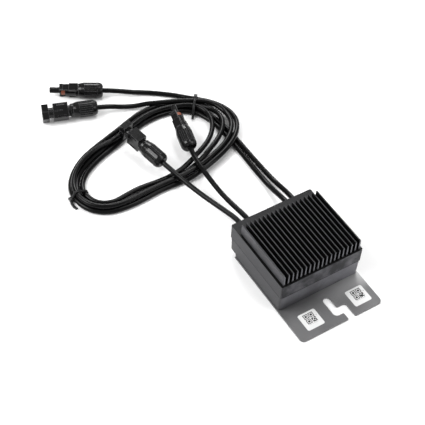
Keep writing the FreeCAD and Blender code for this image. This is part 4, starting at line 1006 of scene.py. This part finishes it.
def makePrint(label, offset, seed):
    # The code square, a row of short dashes before it and two small ticks at its right.
    low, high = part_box(label)
    middle = Vector(((low[0] + high[0]) / 2, (low[1] + high[1]) / 2, high[2] + mark["lift"]))
    middle += Vector((offset[0] * mm, offset[1] * mm, 0))
    codeGroup.interface.items_tree["Seed"].default_value = seed
    source = bpy.data.objects.new(label, bpy.data.meshes.new(label))
    square = plainPiece(f"{label}_code", source, codeGroup)
    square.data.transform(Matrix.Translation(middle))
    dashes = mark["dashes"]
    boxes = [
        (dashes["from"] + dashes["apart"] * step, dashes["height"], *dashes["size"])
        for step in range(dashes["count"])
    ]
    work = bmesh.new()
    for x, y, across, along in boxes + mark["ticks"]:
        corners = [(x, y), (x + across, y), (x + across, y + along), (x, y + along)]
        work.faces.new([work.verts.new(middle + Vector((a * mm, b * mm, 0))) for a, b in corners])
    mesh = bpy.data.meshes.new(f"{label}_dashes")
    work.to_mesh(mesh)
    work.free()
    mesh.materials.append(greyInk)
    addPiece(f"{label}_dashes", mesh)


codeGroup = makeCodeGroup()
makePrint("label_left", offset=(0.2, 2.6), seed=7)
makePrint("label_right", offset=(0.6, 2.6), seed=19)
print("stage: prints")


# Floor, light and background
studio = {"floor": (0.96, 0.96, 0.96), "floorHalf": 1.6, "floorDrop": 0.2 * mm, "surround": 0.46}
lights = {
    "keyLight": {"place": (-1.4, 0.6, 1.6), "target": (-0.05, 0.1, 0.0), "power": 40.0, "size": (1.1, 1.1)},
    "topLight": {"place": (0.45, 0.35, 1.7), "target": (-0.05, 0.2, 0.0), "power": 7.0, "size": (0.7, 0.4)},
    "fillLight": {"place": (1.2, -1.4, 1.3), "target": (0.0, 0.0, 0.0), "power": 16.0, "size": (1.2, 1.2)},
    "backLight": {"place": (0.9, 1.8, 1.5), "target": (0.0, 0.1, 0.0), "power": 24.0, "size": (1.0, 0.6)},
}


def makeFloor():
    # White paper just under the part, so that nothing on the ground sinks into it.
    half, height = studio["floorHalf"], -studio["floorDrop"]
    corners = [(-half, -half, height), (half, -half, height), (half, half, height), (-half, half, height)]
    mesh = bpy.data.meshes.new("floor")
    mesh.from_pydata(corners, [], [(0, 1, 2, 3)])
    floor = bpy.data.objects.new("floor", mesh)
    material, tree, shader = newMaterial("floorPaper")
    shader.inputs["Base Color"].default_value = (*studio["floor"], 1)
    setInputs(shader, Roughness=0.9)
    mesh.materials.append(material)
    scene.collection.objects.link(floor)


def makeLight(name, place, target, power, size):
    data = bpy.data.lights.new(name, "AREA")
    data.shape = "RECTANGLE"
    data.size, data.size_y = size
    data.energy = power
    lamp = bpy.data.objects.new(name, data)
    lamp.location = place
    lamp.rotation_euler = (Vector(target) - Vector(place)).to_track_quat("-Z", "Y").to_euler()
    scene.collection.objects.link(lamp)


def makeWorld():
    # Soft grey light all round, and white where the camera looks past the floor.
    world = bpy.data.worlds.new("surround")
    world.use_nodes = True
    tree = world.node_tree
    tree.nodes.clear()
    rays = addNode(tree, "ShaderNodeLightPath")
    mix = addNode(tree, "ShaderNodeMixShader")
    tree.links.new(rays.outputs["Is Camera Ray"], mix.inputs["Fac"])
    for socket, strength in ((1, studio["surround"]), (2, 1.0)):
        glow = addNode(tree, "ShaderNodeBackground")
        glow.inputs["Color"].default_value = (1, 1, 1, 1)
        glow.inputs["Strength"].default_value = strength
        tree.links.new(glow.outputs["Background"], mix.inputs[socket])
    output = addNode(tree, "ShaderNodeOutputWorld")
    tree.links.new(mix.outputs["Shader"], output.inputs["Surface"])
    scene.world = world


makeFloor()
for name, settings in lights.items():
    makeLight(name, **settings)
makeWorld()
scene.view_settings.view_transform = "Standard"
print("stage: studio")
